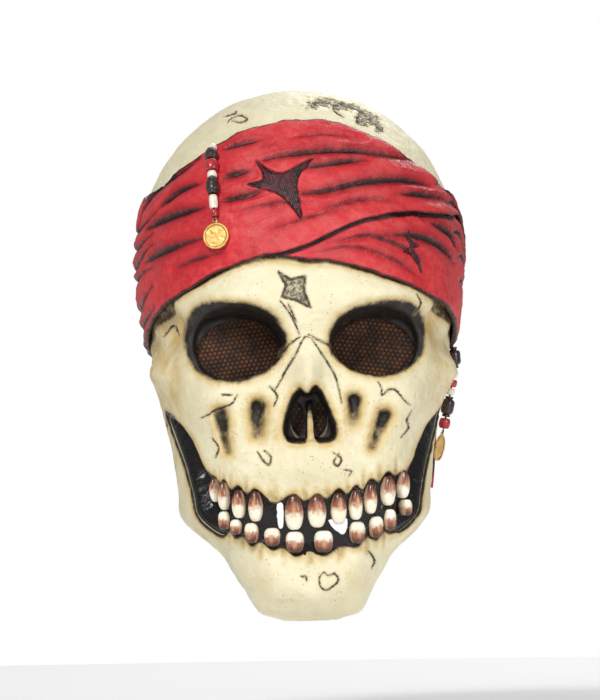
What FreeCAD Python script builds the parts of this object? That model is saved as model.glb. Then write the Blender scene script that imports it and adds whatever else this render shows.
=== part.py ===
"""Latex pirate skull mask, worn over the whole head.

A thin latex skull with recessed eye and nose sockets, a flexing jaw, two rows of teeth on a
black lining, a bandana tied in a knot at the wearer's left, and two hanging bead strands.

Frame: +X to the wearer's left, -Y out of the face, +Z up, millimetres. The origin is the point
inside the crown that rests on the wearer's head. Heights in the tables below are counted from
the underside of the chin, and lift() turns a height into Z.
"""

import FreeCAD
import Part
import math
import os
from FreeCAD import Placement, Rotation, Vector

# ---- Driving dimensions, in millimetres and degrees ----
HEIGHT = 342.0          # underside of the chin to the top of the crown
SKIN = 1.8              # latex wall
CLOTH = 2.6             # moulded bandana, over the skull
WIDE = 230.0            # height of the widest section
HALF_WIDTH = 104.0      # half the width of that section
DEPTH = 118.0           # from the head's middle line to the front or the back of it
MIDDLE_Y = 10.0         # the head's middle line, front to back
CROWN_SQUARENESS = 2.1  # exponent of the crown's upright profile
JAW_HINGE = (-4.0, 138.0)   # Y and height of the axis that the jaw flexes about
JAW_HINGE_RADIUS = 13.0
HINGE_GAP = 1.0         # between the skull and the jaw, on the arcs round the hinge
JAW_HORNS = (60.0, 48.0)    # where the jaw's hinge arc ends, ahead of straight down and behind it
SKULL_HORN = 66.0
HALF_SPAN = 160.0       # half the length of the side-view cutters

COLUMNS = 96            # points round each section
CROWN_STEPS = (9, 18, 27, 36, 45, 54, 63, 71, 78, 84, 87)
ROWS_BELOW_WIDE = 33

# Height above the chin, then the size there.
HALF_WIDTHS = ((0, 23), (4, 31), (10, 36), (20, 41), (32, 49), (45, 58), (58, 72), (68, 79), (80, 80.5),
               (100, 83), (116, 86), (130, 89), (150, 93), (161, 95), (175, 97), (190, 99.5),
               (210, 102.5), (WIDE, HALF_WIDTH))
FRONTS = ((0, -97), (4, -104), (10, -109), (20, -114), (35, -114), (50, -113), (70, -116), (90, -117),
          (110, -116), (130, -112), (150, -108), (165, -105), (185, -106), (205, -110),
          (218, -110), (WIDE, MIDDLE_Y - DEPTH))
MIDDLES = ((0, -82), (20, -72), (45, -54), (65, -34), (85, -12), (105, 2), (130, MIDDLE_Y))
BACKS = ((0, 60), (60, 78), (85, 90), (125, 106), (160, 119), (200, 127), (WIDE, MIDDLE_Y + DEPTH))
SQUARENESS = ((0, 2.4), (60, 2.6), (150, 2.7), (200, 2.5), (WIDE, 2.2))
BACK_SQUARENESS = 2.2

# Swellings and hollows of the face: X, height, half-width, half-height, outward.
FRONT_RELIEF = ((0, 160, 10, 15, 13), (66, 145, 18, 13, 6), (-66, 145, 18, 13, 6),
                (34, 116, 14, 16, -4), (-34, 116, 14, 16, -4), (40, 212, 26, 9, 4),
                (-40, 212, 26, 9, 4))
# The cheek arches, which stand out sideways: Y, height, half-length, half-height, outward.
SIDE_RELIEF = ((-30, 158, 28, 13, 6),)

# Side views, as Y and height. The jaw's own outline, then the skull's lower edge.
JAW_TOP = ((-HALF_SPAN, 44), (-118, 44), (-103, 48), (-90, 56), (-79, 66), (-66, 84), (-50, 103),
           (-34, 117), (-20, 124))
JAW_REAR = ((10, 121), (11, 106), (5, 85), (-8, 66), (-31, 46), (-57, 22), (-70, 10), (-75, 2),
            (-76, -6))
SKULL_LOW_FRONT = ((-150, 86), (-118, 86), (-104, 88), (-92, 94), (-83, 103), (-76, 114),
                   (-64, 125), (-46, 132), (-28, 135), (-17, 134))
SKULL_HEM = ((12, 127), (22, 114), (40, 104), (62, 95), (90, 87), (150, 83))

EYE = (44.7, 178.0)             # X and height of an eye socket's middle
EYE_LEAN = 7.0                  # the socket's outer corner drops by this angle
EYE_TURN = 2.0                  # its floor sits this much lower and nearer the nose
EYE_MOUTH = (37.5, 30.5)        # half-width and half-height where the cutter starts
EYE_FLOOR = (27.0, 20.0)        # at the socket's floor
EYE_FLOOR_Y = -76.0
SOCKET_START = -132.0           # Y where the cutters of the sockets start, in front of the face
EYE_FLANGE = 3.0                # rim of the floor that the mesh is glued to
MESH = 1.0                      # thickness of the eye and nose mesh
NOSE_HEIGHT = 132.0
NOSE_MOUTH = (18.0, 21.5)
NOSE_FLOOR = (13.0, 16.0)
NOSE_FLOOR_Y = -96.0
NOSTRIL = (6.6, 5.0, 12.0)      # X, half-width and half-height of each nostril hole
HOLE_DEPTH = 12.0
LINING_HOLE_DEPTH = 30.0
MESH_INSET = 0.6                # the mesh patches are this much smaller than the floors

LINING_GAP = 0.3                # the lining lies this far inside the skin
LINING = 1.5
LINING_LAP = 7.0                # it runs this far behind the skin's edges
LINING_REAR = ((6, 141), (5, 112))  # Y and height of its corners behind the hinge
GAP_IN_TEETH = ((-19.5, 68.0, 2.4, 7.0), (17.6, 59.5, 5.4, 4.2))  # X, height, half sizes

# X, height of the middle, half-width, half-height.
UPPER_TEETH = ((-60.7, 85.2, 3.2, 8.0), (-55.3, 81.3, 4.2, 9.3), (-46.1, 76.0, 5.0, 9.3),
               (-35.4, 74.5, 5.3, 10.0), (-10.5, 70.2, 6.8, 11.5), (4.3, 71.0, 6.8, 11.0),
               (18.4, 72.3, 5.8, 10.5), (29.6, 74.5, 5.0, 10.0), (39.4, 78.2, 4.7, 10.0),
               (51.2, 83.0, 5.7, 9.8), (61.5, 86.8, 4.2, 9.2))
LOWER_TEETH = ((-55.5, 65.2, 4.2, 6.0), (-48.0, 61.0, 4.2, 5.0), (-38.2, 57.0, 5.2, 6.6),
               (-24.8, 54.2, 6.0, 6.0), (-10.2, 50.8, 6.8, 7.0), (8.4, 50.8, 7.0, 7.2),
               (30.6, 56.3, 6.0, 7.2), (43.1, 59.6, 5.3, 7.0), (52.2, 63.9, 4.4, 7.0),
               (63.3, 71.5, 3.8, 5.3))
TOOTH_HALF_THICKNESS = 5.0      # before the back is cut to the lining
TOOTH_SET_BACK = 1.5            # from the face's curve to the tooth's middle

# The bandana's edges. From the front its top is an arch; from the side both edges run back.
ARCH_TOP = 321.0
ARCH_DROP = 0.0052
ARCH_X = (-130, -95, -65, -32, 0, 32, 65, 95, 130)
BANDANA_REAR_TOP = ((-160, 420), (-62, 345), (-30, 306), (5, 287), (60, 266), (150, 236))
BANDANA_LOW = ((-160, 240), (-112, 237), (-95, 223), (-62, 203), (-20, 187), (15, 177),
               (50, 169), (90, 155), (150, 136))
# The edge where the cloth crosses over itself, on the wearer's left: X and height from the front,
# then Y and height from the side, where it drops to the knot.
CROSSING = ((-26, 236), (0, 242), (30, 255), (62, 261), (98, 259), (140, 262))
CROSSING_REAR = ((-160, 300), (-60, 280), (-10, 262), (28, 230), (58, 184), (64, 130))

KNOT = (86.5, 70.0, 168.0)      # X, Y and height of the knot's middle
KNOT_SIZE = (10.0, 17.0, 13.5)
KNOT_BASE = 160.0               # the tails hang from under this level
TAIL_GAP = 0.4
TAIL_THICKNESS = 2.0
TAIL_LEAN = 4.5                 # how far inwards a tail hangs by its lower end
TAILS = {"bandana_tail_long": (59.5, 80.0, 10.0, 2.4),      # Y, lower end, half-width, offset
         "bandana_tail_short": (80.0, 101.0, 9.5, 0.6)}

CORD_RADIUS = 0.6
BORE_CLEARANCE = 0.15
BORE_GROWTH = 0.0045    # a long bead on a bent cord needs this much more, times its length squared
BEAD_GAP = 0.9
FIRST_BEAD = 3.0        # from the cloth to the first bead
COIN_RADIUS = 8.6
COIN_RIM = 1.1
COIN_SUNK = 0.35
COIN_THICKNESS = 1.8
RING_RADIUS = 1.3
RING_WIRE = 0.4
BAIL_RADIUS = 1.1
BAIL_BORE = 0.65
BAIL_LENGTH = 1.2
RING_PLAY = 0.1         # between the cord's end and the ring

# Radius, length and end radius of each bead, from the top down.
FRONT_BEADS = (("front_bead_1_white", 3.1, 5.0, 1.8), ("front_bead_2_dark", 4.3, 9.6, 3.2),
               ("front_bead_3_red", 4.4, 8.2, 2.4), ("front_bead_4_white", 3.2, 4.4, 2.0),
               ("front_bead_5_dark", 4.3, 11.0, 3.2), ("front_bead_6_white", 2.9, 9.2, 1.8),
               ("front_bead_7_red", 2.4, 4.6, 1.6))
SIDE_BEADS = (("side_bead_1_dark", 4.2, 14.0, 2.3), ("side_bead_2_white", 3.0, 5.6, 1.8),
              ("side_bead_3_red", 3.4, 5.0, 2.0), ("side_bead_4_white", 2.7, 4.4, 1.7),
              ("side_bead_5_dark", 4.2, 13.5, 2.6), ("side_bead_6_red", 3.7, 6.8, 2.0))
# Cord routes, from the top down. On the forehead: X, height, and the lift off the cloth.
FRONT_ROUTE = ((-54.6, 304.4, 0.7), (-54.7, 300.4, 4.5), (-54.6, 293.4, 5.5), (-54.5, 285.0, 5.5),
               (-54.6, 276.5, 5.4), (-54.6, 267.4, 4.8), (-54.6, 258.9, 3.8))
# At the side: X, Y and height.
SIDE_ROUTE = ((99.3, 36.0, 176.6), (101.9, 36.2, 169.0), (101.3, 36.5, 160.4),
              (99.6, 36.8, 150.8), (97.6, 36.5, 140.8), (95.5, 36.2, 130.6), (93.4, 36.4, 120.4))
FRONT_FACING = (-0.36, -1.0, 0.0)   # the way that the front strand's coin faces
SIDE_FACING = (1.0, -0.35, 0.0)

OUT = "parts"


def lift(height):
    """Z of a height above the chin."""
    return height - (HEIGHT - SKIN)


def smooth(points):
    """A function of height: a smooth curve through the points, level beyond both ends."""
    last = len(points) - 1
    slopes = [0.0] * (last + 1)
    for i in range(1, last):
        slopes[i] = (points[i + 1][1] - points[i - 1][1]) / (points[i + 1][0] - points[i - 1][0])

    def at(height):
        if height <= points[0][0]:
            return points[0][1]
        if height >= points[last][0]:
            return points[last][1]
        i = max(k for k in range(last) if points[k][0] <= height)
        (h0, v0), (h1, v1) = points[i], points[i + 1]
        span = h1 - h0
        t = (height - h0) / span
        rise = v0 * (2 * t ** 3 - 3 * t ** 2 + 1) + v1 * (3 * t ** 2 - 2 * t ** 3)
        lean = slopes[i] * (t ** 3 - 2 * t ** 2 + t) + slopes[i + 1] * (t ** 3 - t ** 2)
        return rise + span * lean

    return at


half_width_at, front_at, middle_at, back_at, squareness_at = (
    smooth(table) for table in (HALF_WIDTHS, FRONTS, MIDDLES, BACKS, SQUARENESS))


def section(height):
    """Half-width, front, middle and back Y, and squareness of the level section at a height."""
    if height < WIDE:
        return (half_width_at(height), front_at(height), middle_at(height), back_at(height),
                squareness_at(height))
    share = (height - WIDE) / (HEIGHT - WIDE)
    k = math.sqrt(max(0.0, 1 - share ** CROWN_SQUARENESS))
    return HALF_WIDTH * k, MIDDLE_Y - DEPTH * k, MIDDLE_Y, MIDDLE_Y + DEPTH * k, SQUARENESS[-1][1]


def bump(a, b, relief):
    """Outward travel of a table of swellings at the place a, b."""
    return sum(out * math.exp(-((a - ca) / sa) ** 2 - ((b - cb) / sb) ** 2)
               for ca, cb, sa, sb, out in relief)


def head_point(angle, height):
    """A point of the skull's outside, at an angle round the section."""
    half, front, middle, back, power = section(height)
    c, s = math.cos(angle), math.sin(angle)
    if s > 0:
        power = BACK_SQUARENESS
    x = half * math.copysign(abs(c) ** (2 / power), c)
    y = middle + ((front if s < 0 else back) - middle) * abs(s) ** (2 / power)
    if s < 0:
        y -= bump(x, height, FRONT_RELIEF)
    x += math.copysign(bump(y, height, SIDE_RELIEF), c) * min(1.0, abs(c) * 2)
    return Vector(x, y, lift(height))


def face_point(x, height, off=0.0):
    """The point of the face at X and height, moved off the surface by off, and its normal."""
    def at(px, ph):
        half, front, middle, _, power = section(ph)
        inside = max(0.0, 1 - (abs(px) / half) ** power) ** (1 / power)
        return Vector(px, middle + (front - middle) * inside - bump(px, ph, FRONT_RELIEF), lift(ph))

    step = 0.5
    normal = (at(x + step, height) - at(x - step, height)).cross(
        at(x, height + step) - at(x, height - step))
    normal.normalize()
    return at(x, height) + normal * off, normal


def head_form(off):
    """The closed solid of the head, with its outside moved off by off."""
    heights = [0, 1.5, 4] + [WIDE * j / ROWS_BELOW_WIDE for j in range(1, ROWS_BELOW_WIDE + 1)]
    heights += [WIDE + (HEIGHT - WIDE) * math.sin(math.radians(a)) for a in CROWN_STEPS]
    angles = [math.pi / 2 + 2 * math.pi * i / COLUMNS for i in range(COLUMNS)]
    base = [[head_point(a, h) for a in angles] for h in heights]
    rows = []
    for j, row in enumerate(base):
        above, below = base[min(j + 1, len(base) - 1)], base[max(j - 1, 0)]
        moved = []
        for i, p in enumerate(row):
            normal = (row[(i + 1) % COLUMNS] - row[i - 1]).cross(above[i] - below[i])
            normal.normalize()
            if j in (0, len(base) - 1):
                normal = Vector(0, 0, 1 if j else -1)
            moved.append(p + normal * off)
        rows.append(moved)
    return solid_through(rows, base)


def solid_through(rows, base):
    """A closed solid whose side passes through rows of points, closed by flat ends."""
    along = [0.0]
    for low, high in zip(base, base[1:]):
        along.append(along[-1] + sum((high[i] - low[i]).Length for i in range(0, COLUMNS, 8)))
    along = [value / along[-1] for value in along]
    around = [i / COLUMNS for i in range(COLUMNS + 1)]
    rings = []
    for row in rows:
        ring = Part.BSplineCurve()
        ring.interpolate(Points=row, PeriodicFlag=True, Parameters=around)
        rings.append(ring)
    poles = [ring.getPoles() for ring in rings]
    ribs = []
    for k in range(len(poles[0])):
        rib = Part.BSplineCurve()
        rib.interpolate(Points=[row[k] for row in poles], Parameters=along)
        ribs.append(rib)
    side = Part.BSplineSurface()
    side.buildFromPolesMultsKnots(
        [rib.getPoles() for rib in ribs], rings[0].getMultiplicities(), ribs[0].getMultiplicities(),
        rings[0].getKnots(), ribs[0].getKnots(), True, False, rings[0].Degree, ribs[0].Degree)
    face = side.toShape()
    level = [e for e in face.Edges if e.BoundBox.ZLength < 0.1]
    shell = Part.Shell([face] + [Part.Face(Part.Wire(e)) for e in level])
    shell.sewShape()
    solid = Part.Solid(shell.Shells[0])
    solid.fix(1e-4, 1e-4, 1e-4)
    return solid


def spline(points):
    """One smooth edge through the points."""
    curve = Part.BSplineCurve()
    curve.interpolate(Points=points)
    return curve.toShape()


def side_prism(*edges):
    """A cutter right across the head, from the edges of a closed side-view outline."""
    wire = Part.Wire(Part.__sortEdges__(list(edges)))
    return Part.Face(wire).extrude(Vector(2 * HALF_SPAN, 0, 0))


def side(points):
    return [Vector(-HALF_SPAN, y, lift(h)) for y, h in points]


def straight(a, b):
    return Part.LineSegment(a, b).toShape()


def hinge_arc(radius, start, end):
    """The arc round the jaw's axis that joins two side-view points, below the axis."""
    y, h = JAW_HINGE
    return Part.Arc(start, Vector(-HALF_SPAN, y, lift(h) - radius), end).toShape()


def on_hinge(radius, degrees):
    """The side-view point at an angle from straight below the jaw's axis, forward positive."""
    a = math.radians(degrees)
    return Vector(-HALF_SPAN, JAW_HINGE[0] - radius * math.sin(a), lift(JAW_HINGE[1]) - radius * math.cos(a))


def jaw_prism():
    """The jaw's side view."""
    r = JAW_HINGE_RADIUS
    top = side(JAW_TOP)[:-1] + [on_hinge(r, JAW_HORNS[0])]
    rear = [on_hinge(r, -JAW_HORNS[1])] + side(JAW_REAR)
    low_front = side([(-HALF_SPAN, JAW_REAR[-1][1])])[0]
    return side_prism(spline(top), hinge_arc(r, top[-1], rear[0]), spline(rear),
                      straight(rear[-1], low_front), straight(low_front, top[0]))


def below_skull_prism():
    """Everything under the skull's lower edge, from the teeth back to the hem."""
    r = JAW_HINGE_RADIUS - HINGE_GAP
    front = side(SKULL_LOW_FRONT)[:-1] + [on_hinge(r, SKULL_HORN)]
    hem = [on_hinge(r, -SKULL_HORN)] + side(SKULL_HEM)[1:]
    low_back, low_front = side(((150, -60), (-150, -60)))
    return side_prism(spline(front), hinge_arc(r, front[-1], hem[0]), spline(hem),
                      straight(hem[-1], low_back), straight(low_back, low_front),
                      straight(low_front, front[0]))


def ellipse(x, y, height, half_width, half_height, lean=0.0):
    """An upright elliptical wire, turned by lean in its own plane."""
    turn = math.radians(lean)
    points = []
    for k in range(12):
        a = 2 * math.pi * k / 12
        u, w = half_width * math.cos(a), half_height * math.sin(a)
        points.append(Vector(x + u * math.cos(turn) - w * math.sin(turn), y,
                             lift(height) + u * math.sin(turn) + w * math.cos(turn)))
    curve = Part.BSplineCurve()
    curve.interpolate(Points=points, PeriodicFlag=True)
    return Part.Wire(curve.toShape())


def eye_cavity(side_sign, grow):
    x, height = EYE
    lean = -EYE_LEAN * side_sign
    return Part.makeLoft([
        ellipse(side_sign * x, SOCKET_START, height, EYE_MOUTH[0] + grow, EYE_MOUTH[1] + grow, lean),
        ellipse(side_sign * (x - EYE_TURN), EYE_FLOOR_Y + grow, height - EYE_TURN,
                EYE_FLOOR[0] + grow, EYE_FLOOR[1] + grow, lean)], True)


def nose_cavity(grow):
    return Part.makeLoft([
        ellipse(0, SOCKET_START, NOSE_HEIGHT, NOSE_MOUTH[0] + grow, NOSE_MOUTH[1] + grow),
        ellipse(0, NOSE_FLOOR_Y + grow, NOSE_HEIGHT, NOSE_FLOOR[0] + grow, NOSE_FLOOR[1] + grow)], True)


def plug(wire, depth):
    """A straight solid through a wall, half of it in front of the wire."""
    face = Part.Face(wire)
    face.translate(Vector(0, -depth / 2, 0))
    return face.extrude(Vector(0, depth, 0))


def eye_hole(side_sign):
    x, height = EYE
    return plug(ellipse(side_sign * (x - EYE_TURN), EYE_FLOOR_Y, height - EYE_TURN,
                        EYE_FLOOR[0] - EYE_FLANGE, EYE_FLOOR[1] - EYE_FLANGE,
                        -EYE_LEAN * side_sign), HOLE_DEPTH)


def nostril_holes():
    x, half_width, half_height = NOSTRIL
    holes = [plug(ellipse(s * x, NOSE_FLOOR_Y, NOSE_HEIGHT, half_width, half_height), HOLE_DEPTH)
             for s in (-1, 1)]
    return holes[0].fuse(holes[1])


def skull_skin(outer, inner):
    """The cranium and upper face: one cast latex skin with its sockets turned inwards."""
    for s in (-1, 1):
        outer = outer.cut(eye_cavity(s, 0.0))
        inner = inner.cut(eye_cavity(s, SKIN))
    outer = outer.cut(nose_cavity(0.0))
    inner = inner.cut(nose_cavity(SKIN))
    skin = outer.cut(inner).cut(below_skull_prism())
    for s in (-1, 1):
        skin = skin.cut(eye_hole(s))
    return largest(skin.cut(nostril_holes()))


def largest(shape):
    """The biggest solid of a cut shape, without its offcuts."""
    return max(shape.Solids, key=lambda s: s.Volume)


def shell_inside(outer, inner, region):
    """The layer between two head forms, inside a region."""
    return outer.common(region).cut(inner.common(region))


def mouth_lining(outside, inside):
    """The black latex web behind the teeth and in the cheek hollows, open between some teeth."""
    lap = LINING_LAP
    upper = side([(y, h + lap) for y, h in SKULL_LOW_FRONT[:-1]] + [LINING_REAR[0]])
    lower = side([(y, h - lap) for y, h in JAW_TOP[:-1]] + [LINING_REAR[1]])
    band = side_prism(spline(upper), straight(upper[-1], lower[-1]), spline(lower),
                      straight(lower[0], upper[0]))
    web = shell_inside(outside, inside, band)
    for x, height, half_width, half_height in GAP_IN_TEETH:
        y = face_point(x, height)[0].y
        web = web.cut(plug(ellipse(x, y, height, half_width, half_height), LINING_HOLE_DEPTH))
    return largest(web)


def ellipsoid(*half_sizes):
    squash = FreeCAD.Matrix()
    squash.scale(*half_sizes)
    return Part.makeSphere(1.0).transformGeometry(squash)


def tooth(x, height, half_width, half_height):
    """A rounded tooth standing on the face's curve."""
    middle, normal = face_point(x, height, -TOOTH_SET_BACK)
    ball = ellipsoid(half_width, TOOTH_HALF_THICKNESS, half_height)
    turn = math.degrees(math.atan2(normal.x, -normal.y))
    ball.Placement = Placement(middle, Rotation(Vector(0, 0, 1), turn))
    return ball


def teeth(table, *cutters):
    """A row of separate teeth, each trimmed flush to what it is set in."""
    row = []
    for values in table:
        one = tooth(*values)
        for cutter in cutters:
            one = one.cut(cutter)
        row.append(largest(one))
    return Part.makeCompound(row)


def mesh_panel(wire, y):
    """A flat mesh patch, glued to the inner face of a socket's floor."""
    face = Part.Face(wire)
    face.translate(Vector(0, y, 0))
    return face.extrude(Vector(0, MESH, 0))


def eye_mesh(side_sign):
    x, height = EYE
    return mesh_panel(ellipse(side_sign * (x - EYE_TURN), 0, height - EYE_TURN,
                              EYE_FLOOR[0] - MESH_INSET, EYE_FLOOR[1] - MESH_INSET,
                              -EYE_LEAN * side_sign), EYE_FLOOR_Y + SKIN)


def nose_mesh():
    return mesh_panel(ellipse(0, 0, NOSE_HEIGHT, NOSE_FLOOR[0] - MESH_INSET, NOSE_FLOOR[1] - MESH_INSET),
                      NOSE_FLOOR_Y + SKIN)


def front_prism(*edges):
    """A cutter right through the head from front to back, from a closed front-view outline."""
    wire = Part.Wire(Part.__sortEdges__(list(edges)))
    return Part.Face(wire).extrude(Vector(0, 2 * HALF_SPAN, 0))


def bandana_band(over, under):
    """The whole band of cloth that lies on the skull."""
    arch = [Vector(x, -HALF_SPAN, lift(ARCH_TOP - ARCH_DROP * x * x)) for x in ARCH_X]
    low_right = Vector(arch[-1].x, -HALF_SPAN, lift(0))
    low_left = Vector(arch[0].x, -HALF_SPAN, lift(0))
    below_arch = front_prism(spline(arch), straight(arch[-1], low_right),
                             straight(low_right, low_left), straight(low_left, arch[0]))
    top, low = side(BANDANA_REAR_TOP), side(BANDANA_LOW)
    between = side_prism(spline(top), straight(top[-1], low[-1]), spline(low), straight(low[0], top[0]))
    return largest(shell_inside(over, under, between.common(below_arch)))


def under_crossing():
    """The region under the crossing edge, from the brow round to the knot."""
    edge = [Vector(x, -HALF_SPAN, lift(h)) for x, h in CROSSING]
    low_right = Vector(edge[-1].x, -HALF_SPAN, lift(0))
    low_left = Vector(edge[0].x, -HALF_SPAN, lift(0))
    below = front_prism(spline(edge), straight(edge[-1], low_right), straight(low_right, low_left),
                        straight(low_left, edge[0]))
    rear = side(CROSSING_REAR)
    corner = side([(CROSSING_REAR[0][0], 0), (CROSSING_REAR[-1][0], 0)])
    ahead = side_prism(spline(rear), straight(rear[-1], corner[1]), straight(corner[1], corner[0]),
                       straight(corner[0], rear[0]))
    return below.common(ahead)


def bandana_knot(cloth_outside):
    """The knot at the wearer's left, seated on the cloth, with a flat under it for the tails."""
    knot = ellipsoid(*KNOT_SIZE)
    knot.translate(Vector(KNOT[0], KNOT[1], lift(KNOT[2])))
    floor = Part.makeBox(100, 100, 100, Vector(KNOT[0] - 50, KNOT[1] - 50, lift(KNOT_BASE) - 100))
    return largest(knot.cut(cloth_outside).cut(floor))


def bandana_tail(middle_y, bottom, half_width, out):
    """A flap of cloth hanging from under the knot, clear of the skull's side."""
    top = KNOT_BASE - TAIL_GAP
    middle = (top + bottom) / 2
    outline = [(-0.5, top), (-0.8, top - 15), (-1.0, middle), (-0.9, bottom + 7), (-0.5, bottom),
               (0.0, bottom + 6), (0.55, bottom + 1), (1.0, bottom + 9), (0.95, middle),
               (0.75, top - 15), (0.5, top)]
    x = KNOT[0] + out
    inner = [Vector(x, 0, lift(top)), Vector(x + 0.6, 0, lift(top - 12)),
             Vector(x - 0.4 * TAIL_LEAN, 0, lift(middle)), Vector(x - TAIL_LEAN, 0, lift(bottom - 1))]
    outer = [p + Vector(TAIL_THICKNESS, 0, 0) for p in inner]
    profile = Part.Wire(Part.__sortEdges__([spline(inner), spline(outer), straight(inner[0], outer[0]),
                                            straight(inner[-1], outer[-1])]))
    sheet = Part.Face(profile).extrude(Vector(0, HALF_SPAN, 0))
    points = [Vector(0, middle_y + half_width * u, lift(h)) for u, h in outline]
    cutter = Part.Face(Part.makePolygon(points + points[:1])).extrude(Vector(HALF_SPAN, 0, 0))
    return largest(sheet.common(cutter))


def tangent_route(points):
    """Straight runs joined by the largest tangent arcs that 0.45 of the shorter run allows."""
    edges, radii, cursor = [], [], points[0]
    for a, b, c in zip(points, points[1:], points[2:]):
        back, ahead = (a - b), (c - b)
        reach = 0.45 * min(back.Length, ahead.Length)
        turn = math.pi - back.getAngle(ahead)
        back.normalize()
        ahead.normalize()
        start, end = b + back * reach, b + ahead * reach
        radius = reach / math.tan(turn / 2)
        bisector = back + ahead
        bisector.normalize()
        centre = b + bisector * math.hypot(reach, radius)
        edges += [straight(cursor, start), Part.Arc(start, centre - bisector * radius, end).toShape()]
        radii.append(radius)
        cursor = end
    edges.append(straight(cursor, points[-1]))
    return Part.Wire(edges), radii


def cord(points):
    """A round cord along the route, and the radii of its bends."""
    path, radii = tangent_route(points)
    first = Vector(points[1] - points[0])
    ring = Part.Wire(Part.Circle(points[0], first, CORD_RADIUS).toShape())
    tube = path.makePipeShell([ring], True, False)
    expected = math.pi * CORD_RADIUS ** 2 * path.Length
    print(f"cord {path.Length:.1f} mm, volume {tube.Volume / expected:.3f} of its section times its "
          f"length, smallest bend {min(radii):.0f} mm")
    return tube, path


def bead(radius, length, end_radius):
    """A barrel with a bore for the cord, standing on its own axis about its middle."""
    bore = CORD_RADIUS + BORE_CLEARANCE + BORE_GROWTH * length ** 2
    half = length / 2
    shoulder = end_radius + 0.72 * (radius - end_radius)
    corners = [Vector(bore, 0, -half), Vector(end_radius, 0, -half), Vector(end_radius, 0, half),
               Vector(bore, 0, half)]
    outline = Part.Wire([straight(corners[0], corners[1]),
                         spline([corners[1], Vector(shoulder, 0, -half / 2), Vector(radius, 0, 0),
                                 Vector(shoulder, 0, half / 2), corners[2]]),
                         straight(corners[2], corners[3]), straight(corners[3], corners[0])])
    return Part.Face(outline).revolve(Vector(0, 0, 0), Vector(0, 0, 1), 360)


def along(path, distance):
    """Place and direction at a distance along a wire."""
    for edge in path.Edges:
        if distance <= edge.Length:
            parameter = edge.getParameterByLength(distance)
            return edge.valueAt(parameter), edge.tangentAt(parameter)
        distance -= edge.Length
    last = path.Edges[-1]
    return last.valueAt(last.LastParameter), last.tangentAt(last.LastParameter)


def strand(beads, points, facing):
    """Beads, cord and the frame of the ring and coin of one strand, from the top down."""
    tube, path = cord(points)
    made = {}
    distance = FIRST_BEAD
    for name, radius, length, end_radius in beads:
        top, centre, bottom = (along(path, distance + part * length)[0] for part in (0, 0.5, 1))
        middle = centre * 0.5 + (top + bottom) * 0.25
        heading = bottom - top
        one = bead(radius, length, end_radius)
        one.Placement = Placement(middle, Rotation(Vector(0, 0, -1), heading))
        made[name] = one
        distance += length + BEAD_GAP
    end, heading = along(path, path.Length)
    up = heading * -1
    across = facing.cross(up)
    across.normalize()
    pivot = end + heading * (2 * RING_RADIUS + RING_WIRE + RING_PLAY)
    spare = path.Length - distance + BEAD_GAP
    print(f"spare cord {spare:.1f} mm, coin pivot {rounded(pivot)}, axis {rounded(across)}, "
          f"route {[rounded(p) for p in points]}")
    return made, tube, Placement(pivot, Rotation(across, up.cross(across), up))


def rounded(vector):
    return [round(value, 3) for value in vector]


def jump_ring(place):
    ring = Part.makeTorus(RING_RADIUS, RING_WIRE, Vector(0, 0, RING_RADIUS), Vector(0, 1, 0))
    ring.Placement = place
    return ring


def coin(place):
    """A plain coin with a raised rim, hung by a short bail tube whose bore is the pivot."""
    half = COIN_THICKNESS / 2
    middle = Vector(0, 0, -BAIL_RADIUS - COIN_RADIUS + COIN_SUNK)
    disc = Part.makeCylinder(COIN_RADIUS, COIN_THICKNESS, middle + Vector(0, -half, 0), Vector(0, 1, 0))
    for face_y, way in ((-half, 1), (half, -1)):
        disc = disc.cut(Part.makeCylinder(COIN_RADIUS - COIN_RIM, COIN_SUNK,
                                          middle + Vector(0, face_y, 0), Vector(0, way, 0)))
    tube_start, along_x = Vector(-BAIL_LENGTH / 2, 0, 0), Vector(1, 0, 0)
    bail = Part.makeCylinder(BAIL_RADIUS, BAIL_LENGTH, tube_start, along_x)
    bore = Part.makeCylinder(BAIL_BORE, BAIL_LENGTH, tube_start, along_x)
    piece = disc.fuse(bail).cut(bore)
    piece.Placement = place
    return piece


def save(name, shape):
    assert shape.isValid() and shape.Volume > 0, name
    shape.exportStep(os.path.join(OUT, name + ".step"))
    box = shape.BoundBox
    print(f"{name}: {len(shape.Solids)} solids, {shape.Volume / 1000:.2f} cm3, "
          f"X {box.XMin:.1f} {box.XMax:.1f} Y {box.YMin:.1f} {box.YMax:.1f} Z {box.ZMin:.1f} {box.ZMax:.1f}")


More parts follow.
